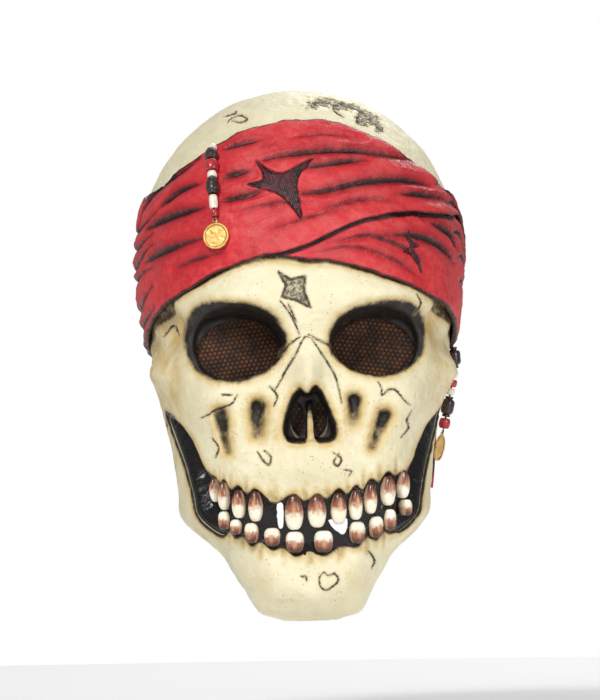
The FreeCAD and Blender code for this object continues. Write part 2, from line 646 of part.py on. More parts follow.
def main():
    os.makedirs(OUT, exist_ok=True)
    outer, inner = head_form(0.0), head_form(-SKIN)
    lining_outside = head_form(-SKIN - LINING_GAP)
    skull = skull_skin(outer, inner)
    jaw = largest(shell_inside(outer, inner, jaw_prism()))
    save("skull_skin", skull)
    save("jaw_skin", jaw)
    save("mouth_lining", mouth_lining(lining_outside, head_form(-SKIN - LINING_GAP - LINING)))
    save("upper_teeth", teeth(UPPER_TEETH, lining_outside, skull))
    save("lower_teeth", teeth(LOWER_TEETH, lining_outside, jaw))
    save("eye_mesh_right", eye_mesh(-1))
    save("eye_mesh_left", eye_mesh(1))
    save("nose_mesh", nose_mesh())

    cloth = head_form(CLOTH)
    band = bandana_band(cloth, outer)
    fold = under_crossing()
    save("bandana_wrap", largest(band.cut(fold)))
    save("bandana_under_fold", largest(band.common(fold)))
    save("bandana_knot", bandana_knot(cloth))
    for name, values in TAILS.items():
        save(name, bandana_tail(*values))

    front_points = [face_point(x, h, CLOTH + off)[0] for x, h, off in FRONT_ROUTE]
    side_points = [Vector(x, y, lift(h)) for x, y, h in SIDE_ROUTE]
    for label, beads, points, facing in (("front", FRONT_BEADS, front_points, Vector(*FRONT_FACING)),
                                         ("side", SIDE_BEADS, side_points, Vector(*SIDE_FACING))):
        made, tube, place = strand(beads, points, facing)
        for name, shape in made.items():
            save(name, shape)
        save(label + "_cord", tube)
        save(label + "_jump_ring", jump_ring(place))
        save(label + "_coin", coin(place))


main()
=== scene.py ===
import math
from itertools import product

import bpy
import numpy as np
from mathutils import Matrix, Vector, kdtree


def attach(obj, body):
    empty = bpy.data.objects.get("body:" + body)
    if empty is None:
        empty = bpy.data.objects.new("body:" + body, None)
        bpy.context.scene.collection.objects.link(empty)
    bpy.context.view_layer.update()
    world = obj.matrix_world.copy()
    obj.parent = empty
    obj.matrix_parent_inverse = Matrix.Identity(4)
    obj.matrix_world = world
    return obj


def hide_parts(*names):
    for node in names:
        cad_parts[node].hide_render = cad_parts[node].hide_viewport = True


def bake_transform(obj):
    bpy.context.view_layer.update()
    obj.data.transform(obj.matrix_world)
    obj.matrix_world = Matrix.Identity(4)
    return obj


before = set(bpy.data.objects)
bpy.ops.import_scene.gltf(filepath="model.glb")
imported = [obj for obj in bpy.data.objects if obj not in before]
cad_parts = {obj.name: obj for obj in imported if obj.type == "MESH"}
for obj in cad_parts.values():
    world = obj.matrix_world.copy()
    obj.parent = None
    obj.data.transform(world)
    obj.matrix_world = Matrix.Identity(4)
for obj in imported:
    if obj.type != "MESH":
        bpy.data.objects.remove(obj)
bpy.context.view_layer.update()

scene = bpy.context.scene
scene.view_settings.view_transform = "Standard"

# Everything is worked out in millimetres, as x, y and height above the underside of the chin.
ORIGIN = 340.2
PITCH = 1.25     # between the samples of the head's field
SKIN = 1.8                              # latex wall
CLOTH = 2.6                             # moulded bandana, over the skull
WIDE, CROWN_RISE = 230.0, 112.0         # height of the widest section, and of the dome above it
ARCH_TOP, ARCH_DROP = 321.0, 0.0052     # the bandana's upper edge from the front, an arch
HINGE = (-4.0, 138.0)                   # Y and height of the jaw's hinge
JAW_ARC, SKULL_ARC = 13, 12             # radii of both pieces' edges round the hinge
EYE_FLOOR_Y, NOSE_FLOOR_Y = -76.0, -96.0
KNOT, KNOT_SIZE = (86.5, 70, 168.0), (10, 17, 13.5)
TAIL_TOP, TAIL_LEAN = 159.6, 4.5
CORD_RADIUS = 0.6
BAIL_RADIUS, COIN_DROP = 1.1, 9.35      # the coin's middle hangs this far under its pivot


def metres(points):
    """x, y, height in mm to the frame's metres."""
    points = np.asarray(points, float)
    return (points - np.array([0, 0, ORIGIN])) / 1000


def to_mm(points):
    return np.asarray(points, float) * 1000 + np.array([0, 0, ORIGIN])


# ---------------------------------------------------------------- camera
K_HEIGHT = 0.4501        # metres seen from top to bottom at the face
CAMERA_FAR = 12.0
camera_data = bpy.data.cameras.new("camera")
camera_data.sensor_fit = "VERTICAL"
camera_data.sensor_height = 24
camera_data.lens = 24 * CAMERA_FAR / K_HEIGHT
camera = bpy.data.objects.new("camera", camera_data)
scene.collection.objects.link(camera)
azimuth, roll = math.radians(-2.2), math.radians(-0.9)
aim = Vector((-0.0006, 0.0, (173.6 - ORIGIN) / 1000))
away = Vector((math.sin(azimuth), -math.cos(azimuth), 0.006))
camera.location = aim + away * (CAMERA_FAR + 0.11)
camera.rotation_euler = ((-away).to_track_quat("-Z", "Y").to_matrix()
                         @ Matrix.Rotation(roll, 3, "Z")).to_euler()
scene.camera = camera


# ---------------------------------------------------------------- shapes in numpy
def table(points):
    """A smooth function through the points, level beyond both ends."""
    at = np.array([p[0] for p in points], float)
    value = np.array([p[1] for p in points], float)
    slope = np.zeros(len(at))
    slope[1:-1] = (value[2:] - value[:-2]) / (at[2:] - at[:-2])

    def function(x):
        x = np.clip(np.asarray(x, float), at[0], at[-1])
        i = np.clip(np.searchsorted(at, x, side="right") - 1, 0, len(at) - 2)
        span = at[i + 1] - at[i]
        t = (x - at[i]) / span
        return (value[i] * (2 * t**3 - 3 * t**2 + 1) + value[i + 1] * (3 * t**2 - 2 * t**3)
                + span * (slope[i] * (t**3 - 2 * t**2 + t) + slope[i + 1] * (t**3 - t**2)))

    return function


half_width_at = table(((0, 23), (4, 31), (10, 36), (20, 41), (32, 49), (45, 58), (58, 72), (68, 79),
                       (80, 80.5), (100, 83), (116, 86), (130, 89), (150, 93), (161, 95), (175, 97),
                       (190, 99.5), (210, 102.5), (230, 104)))
front_at = table(((0, -97), (4, -104), (10, -109), (20, -114), (35, -114), (50, -113), (70, -116),
                  (90, -117), (110, -116), (130, -112), (150, -108), (165, -105), (185, -106),
                  (205, -110), (218, -110), (230, -108)))
middle_at = table(((0, -82), (20, -72), (45, -54), (65, -34), (85, -12), (105, 2), (130, 10)))
back_at = table(((0, 60), (60, 78), (85, 90), (125, 106), (160, 119), (200, 127), (230, 128)))
power_at = table(((0, 2.4), (60, 2.6), (150, 2.7), (200, 2.5), (230, 2.2)))
FRONT_RELIEF = ((0, 160, 10, 15, 13), (66, 145, 18, 13, 6), (-66, 145, 18, 13, 6),
                (34, 116, 14, 16, -4), (-34, 116, 14, 16, -4), (40, 212, 26, 9, 4),
                (-40, 212, 26, 9, 4))
SIDE_RELIEF = ((-30, 158, 28, 13, 6),)


def bump(a, b, relief):
    return sum(out * np.exp(-((a - ca) / sa) ** 2 - ((b - cb) / sb) ** 2)
               for ca, cb, sa, sb, out in relief)


def section(height):
    """Half-width, front, middle, back and squareness of the level section."""
    low = np.minimum(height, WIDE)
    share = np.clip((height - WIDE) / CROWN_RISE, 0, 0.9999)
    k = np.sqrt(1 - share ** 2.1)
    middle = middle_at(low)
    return (half_width_at(low) * k, middle + (front_at(low) - middle) * k, middle,
            middle + (back_at(low) - middle) * k, power_at(low))


def raw_head(angle, height):
    half, front, middle, back, power = section(height)
    c, s = np.cos(angle), np.sin(angle)
    power = np.where(s > 0, 2.2, power)
    x = half * np.sign(c) * np.abs(c) ** (2 / power)
    y = middle + (np.where(s < 0, front, back) - middle) * np.abs(s) ** (2 / power)
    y = y - np.where(s < 0, bump(x, height, FRONT_RELIEF), 0)
    x = x + np.sign(c) * bump(y, height, SIDE_RELIEF) * np.minimum(1, np.abs(c) * 2)
    return np.stack([x, y, height + 0 * x], -1)


def on_head(angle, height, off=0.0):
    """Points at an angle round the head (0 at the wearer's left, 90 at the back) and a height."""
    angle, height = np.broadcast_arrays(np.radians(angle), np.asarray(height, float))
    d = 0.004
    across = raw_head(angle + d, height) - raw_head(angle - d, height)
    up = raw_head(angle, height + 0.4) - raw_head(angle, height - 0.4)
    normal = np.cross(across, up)
    normal /= np.linalg.norm(normal, axis=-1, keepdims=True) + 1e-9
    return raw_head(angle, height) + normal * np.asarray(off)[..., None], normal


def on_face(x, height, off=0.0):
    """Points of the front of the head at x and a height, with the outward normal."""
    x, height = np.broadcast_arrays(np.asarray(x, float), np.asarray(height, float))

    def at(px, ph):
        half, front, middle, _, power = section(ph)
        inside = np.maximum(1e-4, 1 - (np.abs(px) / half) ** power) ** (1 / power)
        y = middle + (front - middle) * inside - bump(px, ph, FRONT_RELIEF)
        return np.stack([px, y, ph], -1)

    normal = np.cross(at(x + 0.5, height) - at(x - 0.5, height), at(x, height + 0.5) - at(x, height - 0.5))
    normal /= np.linalg.norm(normal, axis=-1, keepdims=True)
    return at(x, height) + normal * np.asarray(off)[..., None], normal


def curve(points, per=8, closed=False):
    """A smooth line through the points."""
    p = np.asarray(points, float)
    if closed:
        p = np.vstack([p[-1], p, p[0], p[1]])
    else:
        p = np.vstack([2 * p[0] - p[1], p, 2 * p[-1] - p[-2]])
    made = []
    for a, b, c, d in zip(p[:-3], p[1:-2], p[2:-1], p[3:]):
        for t in np.arange(per) / per:
            made.append(0.5 * (2 * b + (c - a) * t + (2 * a - 5 * b + 4 * c - d) * t**2
                               + (3 * b - a - 3 * c + d) * t**3))
    if not closed:
        made.append(p[-2])
    return np.array(made)


def outline_distance(points, outline):
    """Signed distance to a closed outline in the plane, below 0 inside."""
    points = np.asarray(points, float)
    best = np.full(len(points), 1e9)
    inside = np.zeros(len(points), bool)
    for a, b in zip(outline, np.roll(outline, -1, axis=0)):
        d = b - a
        t = np.clip(((points - a) @ d) / (d @ d + 1e-12), 0, 1)
        away = points - a - t[:, None] * d
        best = np.minimum(best, (away ** 2).sum(1))
        slope = d[0] / (d[1] if abs(d[1]) > 1e-12 else 1e-12)
        inside ^= ((a[1] > points[:, 1]) != (b[1] > points[:, 1])) & (
            points[:, 0] < slope * (points[:, 1] - a[1]) + a[0])
    best = np.sqrt(best)
    return np.where(inside, -best, best)


def line_distance(points, lines, step=0.6):
    """Distance to the nearest of some lines, which line it is, how far along, and the nearest point."""
    stations, owner, along = [], [], []
    for number, line in enumerate(lines):
        line = np.asarray(line, float)
        for a, b in zip(line[:-1], line[1:]):
            n = max(1, int(np.ceil(np.linalg.norm(b - a) / step)))
            for t in np.arange(n) / n:
                stations.append(a + (b - a) * t)
                owner.append(number)
        stations.append(line[-1])
        owner.append(number)
    owner = np.array(owner)
    along = np.concatenate([np.linspace(0, 1, (owner == n).sum()) for n in range(len(lines))])
    stations = np.array(stations)
    if stations.shape[1] == 2:
        stations = np.column_stack([stations, np.zeros(len(stations))])
    if points.shape[1] == 2:
        points = np.column_stack([points, np.zeros(len(points))])
    tree = kdtree.KDTree(len(stations))
    for i, p in enumerate(stations):
        tree.insert(p, i)
    tree.balance()
    found = [tree.find(p) for p in points]
    index = np.array([f[1] for f in found])
    distance = np.array([f[2] for f in found])
    return distance, owner[index], along[index], stations[index]


rng = np.random.default_rng(11)
SHUFFLE = rng.permutation(256)
GRADIENTS = rng.normal(size=(256, 3))
GRADIENTS /= np.linalg.norm(GRADIENTS, axis=1, keepdims=True)


def noise(points, scale, seed=0.0):
    """Smooth noise of about -1 to 1, with lumps of about this many millimetres."""
    p = np.asarray(points, float) / scale + 37.7 + seed * 11.3
    cell = np.floor(p).astype(int)
    f = p - cell
    w = f * f * f * (f * (f * 6 - 15) + 10)
    total = 0
    for corner in product((0, 1), repeat=3):
        c = cell + corner
        key = SHUFFLE[(SHUFFLE[(SHUFFLE[c[..., 0] & 255] + c[..., 1]) & 255] + c[..., 2]) & 255]
        weight = np.prod(np.where(np.array(corner) == 1, w, 1 - w), axis=-1)
        total = total + weight * (GRADIENTS[key] * (f - corner)).sum(-1)
    return total * 1.6


def step_between(a, b, x):
    t = np.clip((x - a) / (b - a), 0, 1)
    return t * t * (3 - 2 * t)


def blend_min(a, b, k):
    h = np.maximum(k - np.abs(a - b), 0) / k
    return np.minimum(a, b) - h * h * k / 4


def blend_max(a, b, k):
    return -blend_min(-a, -b, k)


# ---------------------------------------------------------------- meshes
def surface_net(field, origin, step):
    """The smooth surface where the field is 0, as points and outward-facing quads."""
    inside = field < 0
    shape = tuple(n - 1 for n in field.shape)
    count = np.zeros(shape, np.int8)
    for c in product((0, 1), repeat=3):
        count += inside[c[0]:c[0] + shape[0], c[1]:c[1] + shape[1], c[2]:c[2] + shape[2]]
    cells = np.argwhere((count > 0) & (count < 8))
    number = np.full(shape, -1, np.int32)
    number[tuple(cells.T)] = np.arange(len(cells))
    total, hits = np.zeros((len(cells), 3)), np.zeros(len(cells))
    for axis in range(3):
        for c in product((0, 1), repeat=2):
            start = np.insert(np.array(c), axis, 0)
            end = np.insert(np.array(c), axis, 1)
            a, b = field[tuple((cells + start).T)], field[tuple((cells + end).T)]
            hit = (a < 0) != (b < 0)
            t = np.where(hit, a / np.where(hit, a - b, 1), 0)
            total += hit[:, None] * (start + t[:, None] * (end - start))
            hits += hit
    points = origin + step * (cells + total / hits[:, None])
    quads = []
    for axis in range(3):
        u, v = np.eye(3, dtype=int)[(axis + 1) % 3], np.eye(3, dtype=int)[(axis + 2) % 3]
        low = inside[tuple(slice(None, -1) if a == axis else slice(None) for a in range(3))]
        high = inside[tuple(slice(1, None) if a == axis else slice(None) for a in range(3))]
        e = np.argwhere(low != high)
        limit = np.array(shape)
        ok = ((e - u - v >= 0) & (e < limit)).all(1)
        e = e[ok]
        ring = np.stack([number[tuple(q.T)] for q in (e, e - u, e - u - v, e - v)], 1)
        ring = np.where(low[tuple(e.T)][:, None], ring, ring[:, ::-1])
        quads.append(ring)
    quads = np.vstack(quads)
    return points, quads[(quads >= 0).all(1)]


def sample(field, origin, step, points):
    p = (points - origin) / step
    p = np.clip(p, 0, np.array(field.shape) - 1.001)
    cell = p.astype(int)
    f = p - cell
    total = 0
    for c in product((0, 1), repeat=3):
        weight = np.prod(np.where(np.array(c) == 1, f, 1 - f), axis=1)
        total = total + weight * field[tuple((cell + c).T)]
    return total


def settle(points, quads, field, origin, step, rounds=3):
    """Evens the points out and puts them on the surface."""
    edges = np.unique(np.sort(np.vstack([quads[:, [i, (i + 1) % 4]] for i in range(4)]), axis=1), axis=0)
    degree = np.bincount(edges.ravel(), minlength=len(points))[:, None]
    for _ in range(rounds):
        average = np.stack([np.bincount(edges[:, 0], points[edges[:, 1], k], len(points))
                            + np.bincount(edges[:, 1], points[edges[:, 0], k], len(points))
                            for k in range(3)], 1) / np.maximum(degree, 1)
        points = points + 0.6 * (average - points)
        slope = np.stack([sample(field, origin, step, points + d) - sample(field, origin, step, points - d)
                          for d in np.eye(3) * 0.6 * step], 1) / (1.2 * step)
        value = sample(field, origin, step, points)
        move = -value[:, None] * slope / np.maximum((slope ** 2).sum(1), 0.05)[:, None]
        points = points + np.clip(move, -0.6, 0.6)
    return points


def halves(quads):
    return np.vstack([quads[:, [0, 1, 2]], quads[:, [0, 2, 3]]])


def clip(points, faces, value, extra=()):
    """Keeps the part of a triangle mesh where value is above 0, cut exactly at 0."""
    keep = value[faces] > 0
    n = keep.sum(1)
    made = [faces[n == 3]]
    fresh, pairs, base = [], [], len(points)
    for wanted in (1, 2):
        some, which = faces[n == wanted], keep[n == wanted]
        odd = np.argmax(which if wanted == 1 else ~which, axis=1)
        turned = np.stack([some[np.arange(len(some)), (odd + k) % 3] for k in range(3)], 1)
        fresh.append(turned)
        pairs += [np.sort(turned[:, [0, 1]], 1), np.sort(turned[:, [0, 2]], 1)]
    edges, back = np.unique(np.vstack(pairs), axis=0, return_inverse=True)
    back = back.ravel() + base
    lengths = np.cumsum([len(p) for p in pairs])[:-1]
    e1, e2, e3, e4 = np.split(back, lengths)
    one, two = fresh
    made.append(np.stack([one[:, 0], e1, e2], 1))
    made.append(np.stack([e3, two[:, 1], two[:, 2]], 1))
    made.append(np.stack([e3, two[:, 2], e4], 1))
    a, b = value[edges[:, 0]], value[edges[:, 1]]
    t = (a / np.where(a == b, 1, a - b))
    grown = [np.concatenate([q, q[edges[:, 0]] + (q[edges[:, 1]] - q[edges[:, 0]])
                             * (t[:, None] if q.ndim == 2 else t)]) for q in (points, *extra)]
    faces = np.vstack(made)
    used, faces = np.unique(faces, return_inverse=True)
    return [grown[0][used], faces.reshape(-1, 3)] + [q[used] for q in grown[1:]]


def refine(points, faces, chosen, *extra):
    """Splits the chosen triangles in four, and their neighbours so that no gap opens."""
    edges = np.sort(np.stack([faces[:, [0, 1]], faces[:, [1, 2]], faces[:, [2, 0]]], 1), axis=2)
    key = edges[..., 0].astype(np.int64) * len(points) + edges[..., 1]
    split_keys, first = np.unique(key[chosen], return_index=True)
    ends = edges[chosen].reshape(-1, 2)[first]
    at = np.clip(np.searchsorted(split_keys, key), 0, len(split_keys) - 1)
    cut = split_keys[at] == key
    middle = len(points) + at
    a, b, c = faces.T
    ab, bc, ca = middle.T
    count = cut.sum(1)
    made = [faces[count == 0]]
    for turn in range(3):
        corner = [(a, b, c), (b, c, a), (c, a, b)][turn]
        half = [(ab, bc, ca), (bc, ca, ab), (ca, ab, bc)][turn]
        one = (count == 1) & cut[:, turn]
        two = (count == 2) & ~cut[:, turn]
        p, q, o = corner
        pq, qo, op = half
        made.append(np.vstack([np.stack([p, pq, o], 1)[one], np.stack([pq, q, o], 1)[one]]))
        made.append(np.vstack([np.stack([p, q, qo], 1)[two], np.stack([p, qo, op], 1)[two],
                               np.stack([op, qo, o], 1)[two]]))
    all_three = count == 3
    made.append(np.vstack([np.stack(t, 1)[all_three] for t in
                           ((a, ab, ca), (ab, b, bc), (ca, bc, c), (ab, bc, ca))]))
    grown = [np.concatenate([q, (q[ends[:, 0]] + q[ends[:, 1]]) / 2]) for q in (points, *extra)]
    return [grown[0], np.vstack(made)] + grown[1:]


def face_normals(points, faces):
    a, b, c = (points[faces[:, k]] for k in range(3))
    return np.cross(b - a, c - a)


def normals_of(points, faces):
    flat = face_normals(points, faces)
    total = np.stack([sum(np.bincount(faces[:, j], flat[:, k], len(points)) for j in range(3))
                      for k in range(3)], 1)
    return total / (np.linalg.norm(total, axis=1, keepdims=True) + 1e-12)


def shell(points, faces, inner):
    """A closed wall between a sheet and the inner points, which match it one to one."""
    n = len(points)
    edges = np.vstack([faces[:, [0, 1]], faces[:, [1, 2]], faces[:, [2, 0]]])
    key = edges[:, 0].astype(np.int64) * n + edges[:, 1]
    other = edges[:, 1].astype(np.int64) * n + edges[:, 0]
    rim = edges[~np.isin(key, other)]
    walls = np.vstack([np.stack([rim[:, 1], rim[:, 0], rim[:, 0] + n], 1),
                       np.stack([rim[:, 1], rim[:, 0] + n, rim[:, 1] + n], 1)])
    return np.vstack([points, inner]), np.vstack([faces, faces[:, ::-1] + n, walls])


def add_mesh(name, points, faces, material, attributes=None, body=None, replaces=()):
    mesh = bpy.data.meshes.new(name)
    mesh.vertices.add(len(points))
    mesh.vertices.foreach_set("co", metres(points).astype(np.float32).ravel())
    size = faces.shape[1]
    mesh.loops.add(faces.size)
    mesh.loops.foreach_set("vertex_index", faces.astype(np.int32).ravel())
    mesh.polygons.add(len(faces))
    mesh.polygons.foreach_set("loop_start", np.arange(0, faces.size, size, dtype=np.int32))
    mesh.polygons.foreach_set("loop_total", np.full(len(faces), size, np.int32))
    for key, values in (attributes or {}).items():
        mesh.attributes.new(key, "FLOAT", "POINT").data.foreach_set("value", values.astype(np.float32))
    mesh.update(calc_edges=True)
    mesh.validate()
    mesh.polygons.foreach_set("use_smooth", np.ones(len(mesh.polygons), bool))
    mesh.materials.append(material)
    made = bpy.data.objects.new(name, mesh)
    scene.collection.objects.link(made)
    if replaces:
        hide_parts(*replaces)
    if body:
        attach(made, body)
    return made


def grid_faces(rows, columns, closed=False):
    i, j = np.meshgrid(np.arange(rows - 1), np.arange(columns if closed else columns - 1), indexing="ij")
    a = i * columns + j
    b = i * columns + (j + 1) % columns
    return np.stack([a, b, b + columns, a + columns], -1).reshape(-1, 4)


# ---------------------------------------------------------------- materials
class Nodes:
    """A material, with short calls for its nodes."""

    def __init__(self, name, **uniform):
        self.material = bpy.data.materials.new(name)
        self.material.use_nodes = True
        self.tree = self.material.node_tree
        self.shader = self.tree.nodes["Principled BSDF"]
        for key, value in uniform.items():
            self.shader.inputs[key.replace("_", " ")].default_value = value
        self.place = self.add("ShaderNodeTexCoord").outputs["Object"]

    def add(self, kind, inputs=None, **settings):
        node = self.tree.nodes.new(kind)
        for key, value in settings.items():
            setattr(node, key, value)
        for key, value in (inputs or {}).items():
            self.feed(node.inputs[key], value)
        return node

    def feed(self, socket, value):
        if isinstance(value, bpy.types.NodeSocket):
            self.tree.links.new(value, socket)
        else:
            socket.default_value = value

    def math(self, operation, a, b=0.0, clamp=False):
        return self.add("ShaderNodeMath", {0: a, 1: b}, operation=operation, use_clamp=clamp).outputs[0]

    def attribute(self, name):
        return self.add("ShaderNodeAttribute", attribute_name=name).outputs["Fac"]

    def noise(self, size_mm, detail=3.0, rough=0.55, place=None, warp=0.0):
        return self.add("ShaderNodeTexNoise", {"Vector": place or self.place, "Scale": 1000 / size_mm,
                                               "Detail": detail, "Roughness": rough,
                                               "Distortion": warp}).outputs["Fac"]

    def cells(self, size_mm, feature="F1", output="Distance", place=None):
        return self.add("ShaderNodeTexVoronoi", {"Vector": place or self.place, "Scale": 1000 / size_mm},
                        feature=feature).outputs[output]

    def ramp(self, value, low, high, out_low=0.0, out_high=1.0):
        return self.add("ShaderNodeMapRange", {"Value": value, "From Min": low, "From Max": high,
                                               "To Min": out_low, "To Max": out_high},
                        interpolation_type="SMOOTHSTEP").outputs[0]

    def mix(self, share, a, b, kind="MIX"):
        node = self.add("ShaderNodeMix", data_type="RGBA", blend_type=kind)
        colours = [s for s in node.inputs if s.type == "RGBA"]
        self.feed(node.inputs[0], share)
        for socket, value in zip(colours, (a, b)):
            if not isinstance(value, bpy.types.NodeSocket):
                value = (*value, 1.0)
            self.feed(socket, value)
        return [s for s in node.outputs if s.type == "RGBA"][0]

    def scaled(self, x, y, z):
        return self.add("ShaderNodeMapping", {"Vector": self.place, "Scale": (x, y, z)}).outputs[0]

    def finish(self, colour=None, roughness=None, height=None, depth_mm=0.3, strength=1.0):
        if colour is not None:
            self.feed(self.shader.inputs["Base Color"], colour)
        if roughness is not None:
            self.feed(self.shader.inputs["Roughness"], roughness)
        if height is not None:
            bumped = self.add("ShaderNodeBump", {"Strength": strength, "Distance": depth_mm / 1000,
                                                 "Height": height})
            self.tree.links.new(bumped.outputs[0], self.shader.inputs["Normal"])
        return self.material


def bone_material():
    m = Nodes("bone_latex", Specular_IOR_Level=0.42)
    base = m.mix(m.ramp(m.noise(55, 2), 0.35, 0.65), (0.79, 0.72, 0.49), (0.72, 0.655, 0.43))
    base = m.mix(m.ramp(m.noise(16, 4, 0.6), 0.45, 0.72, 0, 0.55), base, (0.86, 0.81, 0.60))
    base = m.mix(m.ramp(m.noise(5, 3, 0.6), 0.5, 0.8, 0, 0.3), base, (0.64, 0.55, 0.32))
    # Patchy strength for the ochre and for the painted shade.
    patchy_strength = m.ramp(m.noise(7, 4, 0.7), 0.3, 0.7, 0.55, 1.0)
    ochre = m.math("MULTIPLY", m.attribute("ochre"), patchy_strength)
    base = m.mix(m.ramp(ochre, 0.02, 0.5, 0, 0.85), base, (0.60, 0.40, 0.12))
    base = m.mix(m.ramp(ochre, 0.45, 1.0, 0, 0.8), base, (0.24, 0.125, 0.045))
    shade = m.attribute("shade")
    base = m.mix(m.ramp(m.math("MULTIPLY", shade, patchy_strength), 0.03, 0.66), base, (0.012, 0.008, 0.006))
    crack = m.attribute("crack")
    jagged = m.math("ADD", crack, m.ramp(m.noise(1.2, 3), 0.3, 0.7, -0.25, 0.35))
    line = m.math("MULTIPLY", m.ramp(jagged, 0.35, 0.0), m.ramp(m.noise(4, 3), 0.3, 0.55, 0.45, 1.0))
    base = m.mix(m.ramp(crack, 1.8, 0.2, 0, 0.3), base, (0.46, 0.35, 0.19))
    base = m.mix(line, base, (0.07, 0.052, 0.034))
    chip = m.attribute("chip")
    crumbled = m.math("MULTIPLY", m.ramp(chip, 0.3, -0.5), m.ramp(m.noise(2.4, 4, 0.7), 0.36, 0.62, 0.35, 1))
    base = m.mix(crumbled, base, (0.10, 0.08, 0.052))
    pits = m.math("MULTIPLY", m.ramp(m.cells(2.6), 0.20, 0.10), m.ramp(m.noise(11, 2), 0.5, 0.62))
    tiny = m.math("MULTIPLY", m.ramp(m.cells(1.3), 0.22, 0.12), m.ramp(m.noise(6, 3), 0.52, 0.66))
    specks = m.math("MAXIMUM", pits, m.math("MULTIPLY", tiny, 0.7))
    outside = m.ramp(m.attribute("inner"), 0.6, 0.4)
    specks = m.math("MULTIPLY", specks, outside)
    base = m.mix(m.math("MULTIPLY", specks, 0.75), base, (0.16, 0.11, 0.06))
    base = m.mix(m.ramp(m.attribute("inner"), 0.4, 0.6), base, (0.72, 0.66, 0.47))
    height = m.math("ADD", m.noise(3.2, 5, 0.62), m.math("MULTIPLY", m.noise(0.9, 2), 0.35))
    height = m.math("SUBTRACT", height, m.math("MULTIPLY", specks, 0.7))
    height = m.math("SUBTRACT", height, m.math("MULTIPLY", m.math("ADD", line, crumbled), 0.9))
    rough = m.ramp(m.noise(9, 3), 0.3, 0.7, 0.42, 0.60)
    return m.finish(base, rough, height, 0.42, 0.8)


def red_material():
    m = Nodes("red_latex", Specular_IOR_Level=0.42)
    wash_and_shade = m.attribute("wash_and_shade")
    base = m.mix(m.ramp(m.noise(26, 3), 0.35, 0.65), (0.47, 0.012, 0.020), (0.58, 0.022, 0.030))
    # Lighter red on the raised cloth away from the creases: a painted highlight.
    raised_highlight = m.math("MULTIPLY", m.attribute("ridge"), m.ramp(m.noise(4, 4, 0.7), 0.35, 0.7))
    base = m.mix(m.math("MULTIPLY", raised_highlight, 0.5), base, (0.72, 0.075, 0.075))
    base = m.mix(m.ramp(m.noise(9, 4, 0.65), 0.55, 0.8, 0, 0.35), base, (0.34, 0.014, 0.018))
    # Dark red to black in the creases and along the edges: black wash and painted shade.
    uneven = m.math("MULTIPLY", wash_and_shade, m.ramp(m.noise(4, 4, 0.7), 0.25, 0.6, 0.6, 1.2))
    base = m.mix(m.ramp(uneven, 0.03, 0.5), base, (0.13, 0.004, 0.008))
    base = m.mix(m.ramp(uneven, 0.40, 0.75), base, (0.012, 0.003, 0.004))
    tear = m.attribute("tear")
    base = m.mix(m.ramp(tear, 0.1, 0.7), base, (0.085, 0.004, 0.008))
    # Near-black lines in the crumples of the torn holes: painted shade.
    creased = m.ramp(m.noise(5.5, 3, 0.6, None, 1.6), 0.47, 0.53)
    base = m.mix(m.math("MULTIPLY", m.ramp(tear, 0.2, 0.8), creased), base, (0.006, 0.002, 0.003))
    base = m.mix(m.math("MULTIPLY", m.ramp(tear, 0.2, 0.8), m.ramp(m.noise(7, 2), 0.58, 0.7)), base,
                 (0.20, 0.008, 0.014))
    turned = m.add("ShaderNodeMapping", {"Vector": m.place, "Rotation": (0.2, 0.35, 0.25)}).outputs[0]
    threads = {"Vector": turned, "Scale": 1000 / 3.9, "Distortion": 1.2, "Detail": 1.0, "Detail Scale": 2.0}
    warp, weft = (m.add("ShaderNodeTexWave", threads, bands_direction=way).outputs["Fac"] for way in "XZ")
    weave = m.math("MULTIPLY", m.math("MAXIMUM", warp, weft), m.attribute("weave"))
    plain = m.math("SUBTRACT", 1.0, m.math("MAXIMUM", tear, wash_and_shade), True)
    # Lighter red on the tops of the raised threads, away from creases and tears: a painted highlight.
    thread_highlight = m.math("MULTIPLY", m.ramp(weave, 0.6, 1.0), plain)
    thread_highlight = m.math("MULTIPLY", thread_highlight, m.ramp(m.noise(9, 3), 0.4, 0.65, 0.05, 0.5))
    base = m.mix(thread_highlight, base, (0.76, 0.15, 0.14))
    height = m.math("ADD", m.math("MULTIPLY", weave, 0.55), m.math("MULTIPLY", m.noise(2.2, 4), 0.8))
    rough = m.ramp(m.noise(8, 3), 0.3, 0.7, 0.36, 0.56)
    return m.finish(base, rough, height, 0.35, 0.7)


def black_material():
    m = Nodes("black_latex", Coat_Weight=0.22, Coat_Roughness=0.12, Specular_IOR_Level=0.3)
    base = m.mix(m.ramp(m.noise(9, 3), 0.4, 0.75), (0.003, 0.0025, 0.0025), (0.010, 0.006, 0.005))
    base = m.mix(m.ramp(m.noise(3, 3), 0.62, 0.8, 0, 0.4), base, (0.03, 0.014, 0.008))
    return m.finish(base, m.ramp(m.noise(6, 2), 0.3, 0.7, 0.16, 0.34), m.noise(3.5, 4, 0.6), 0.7, 0.8)


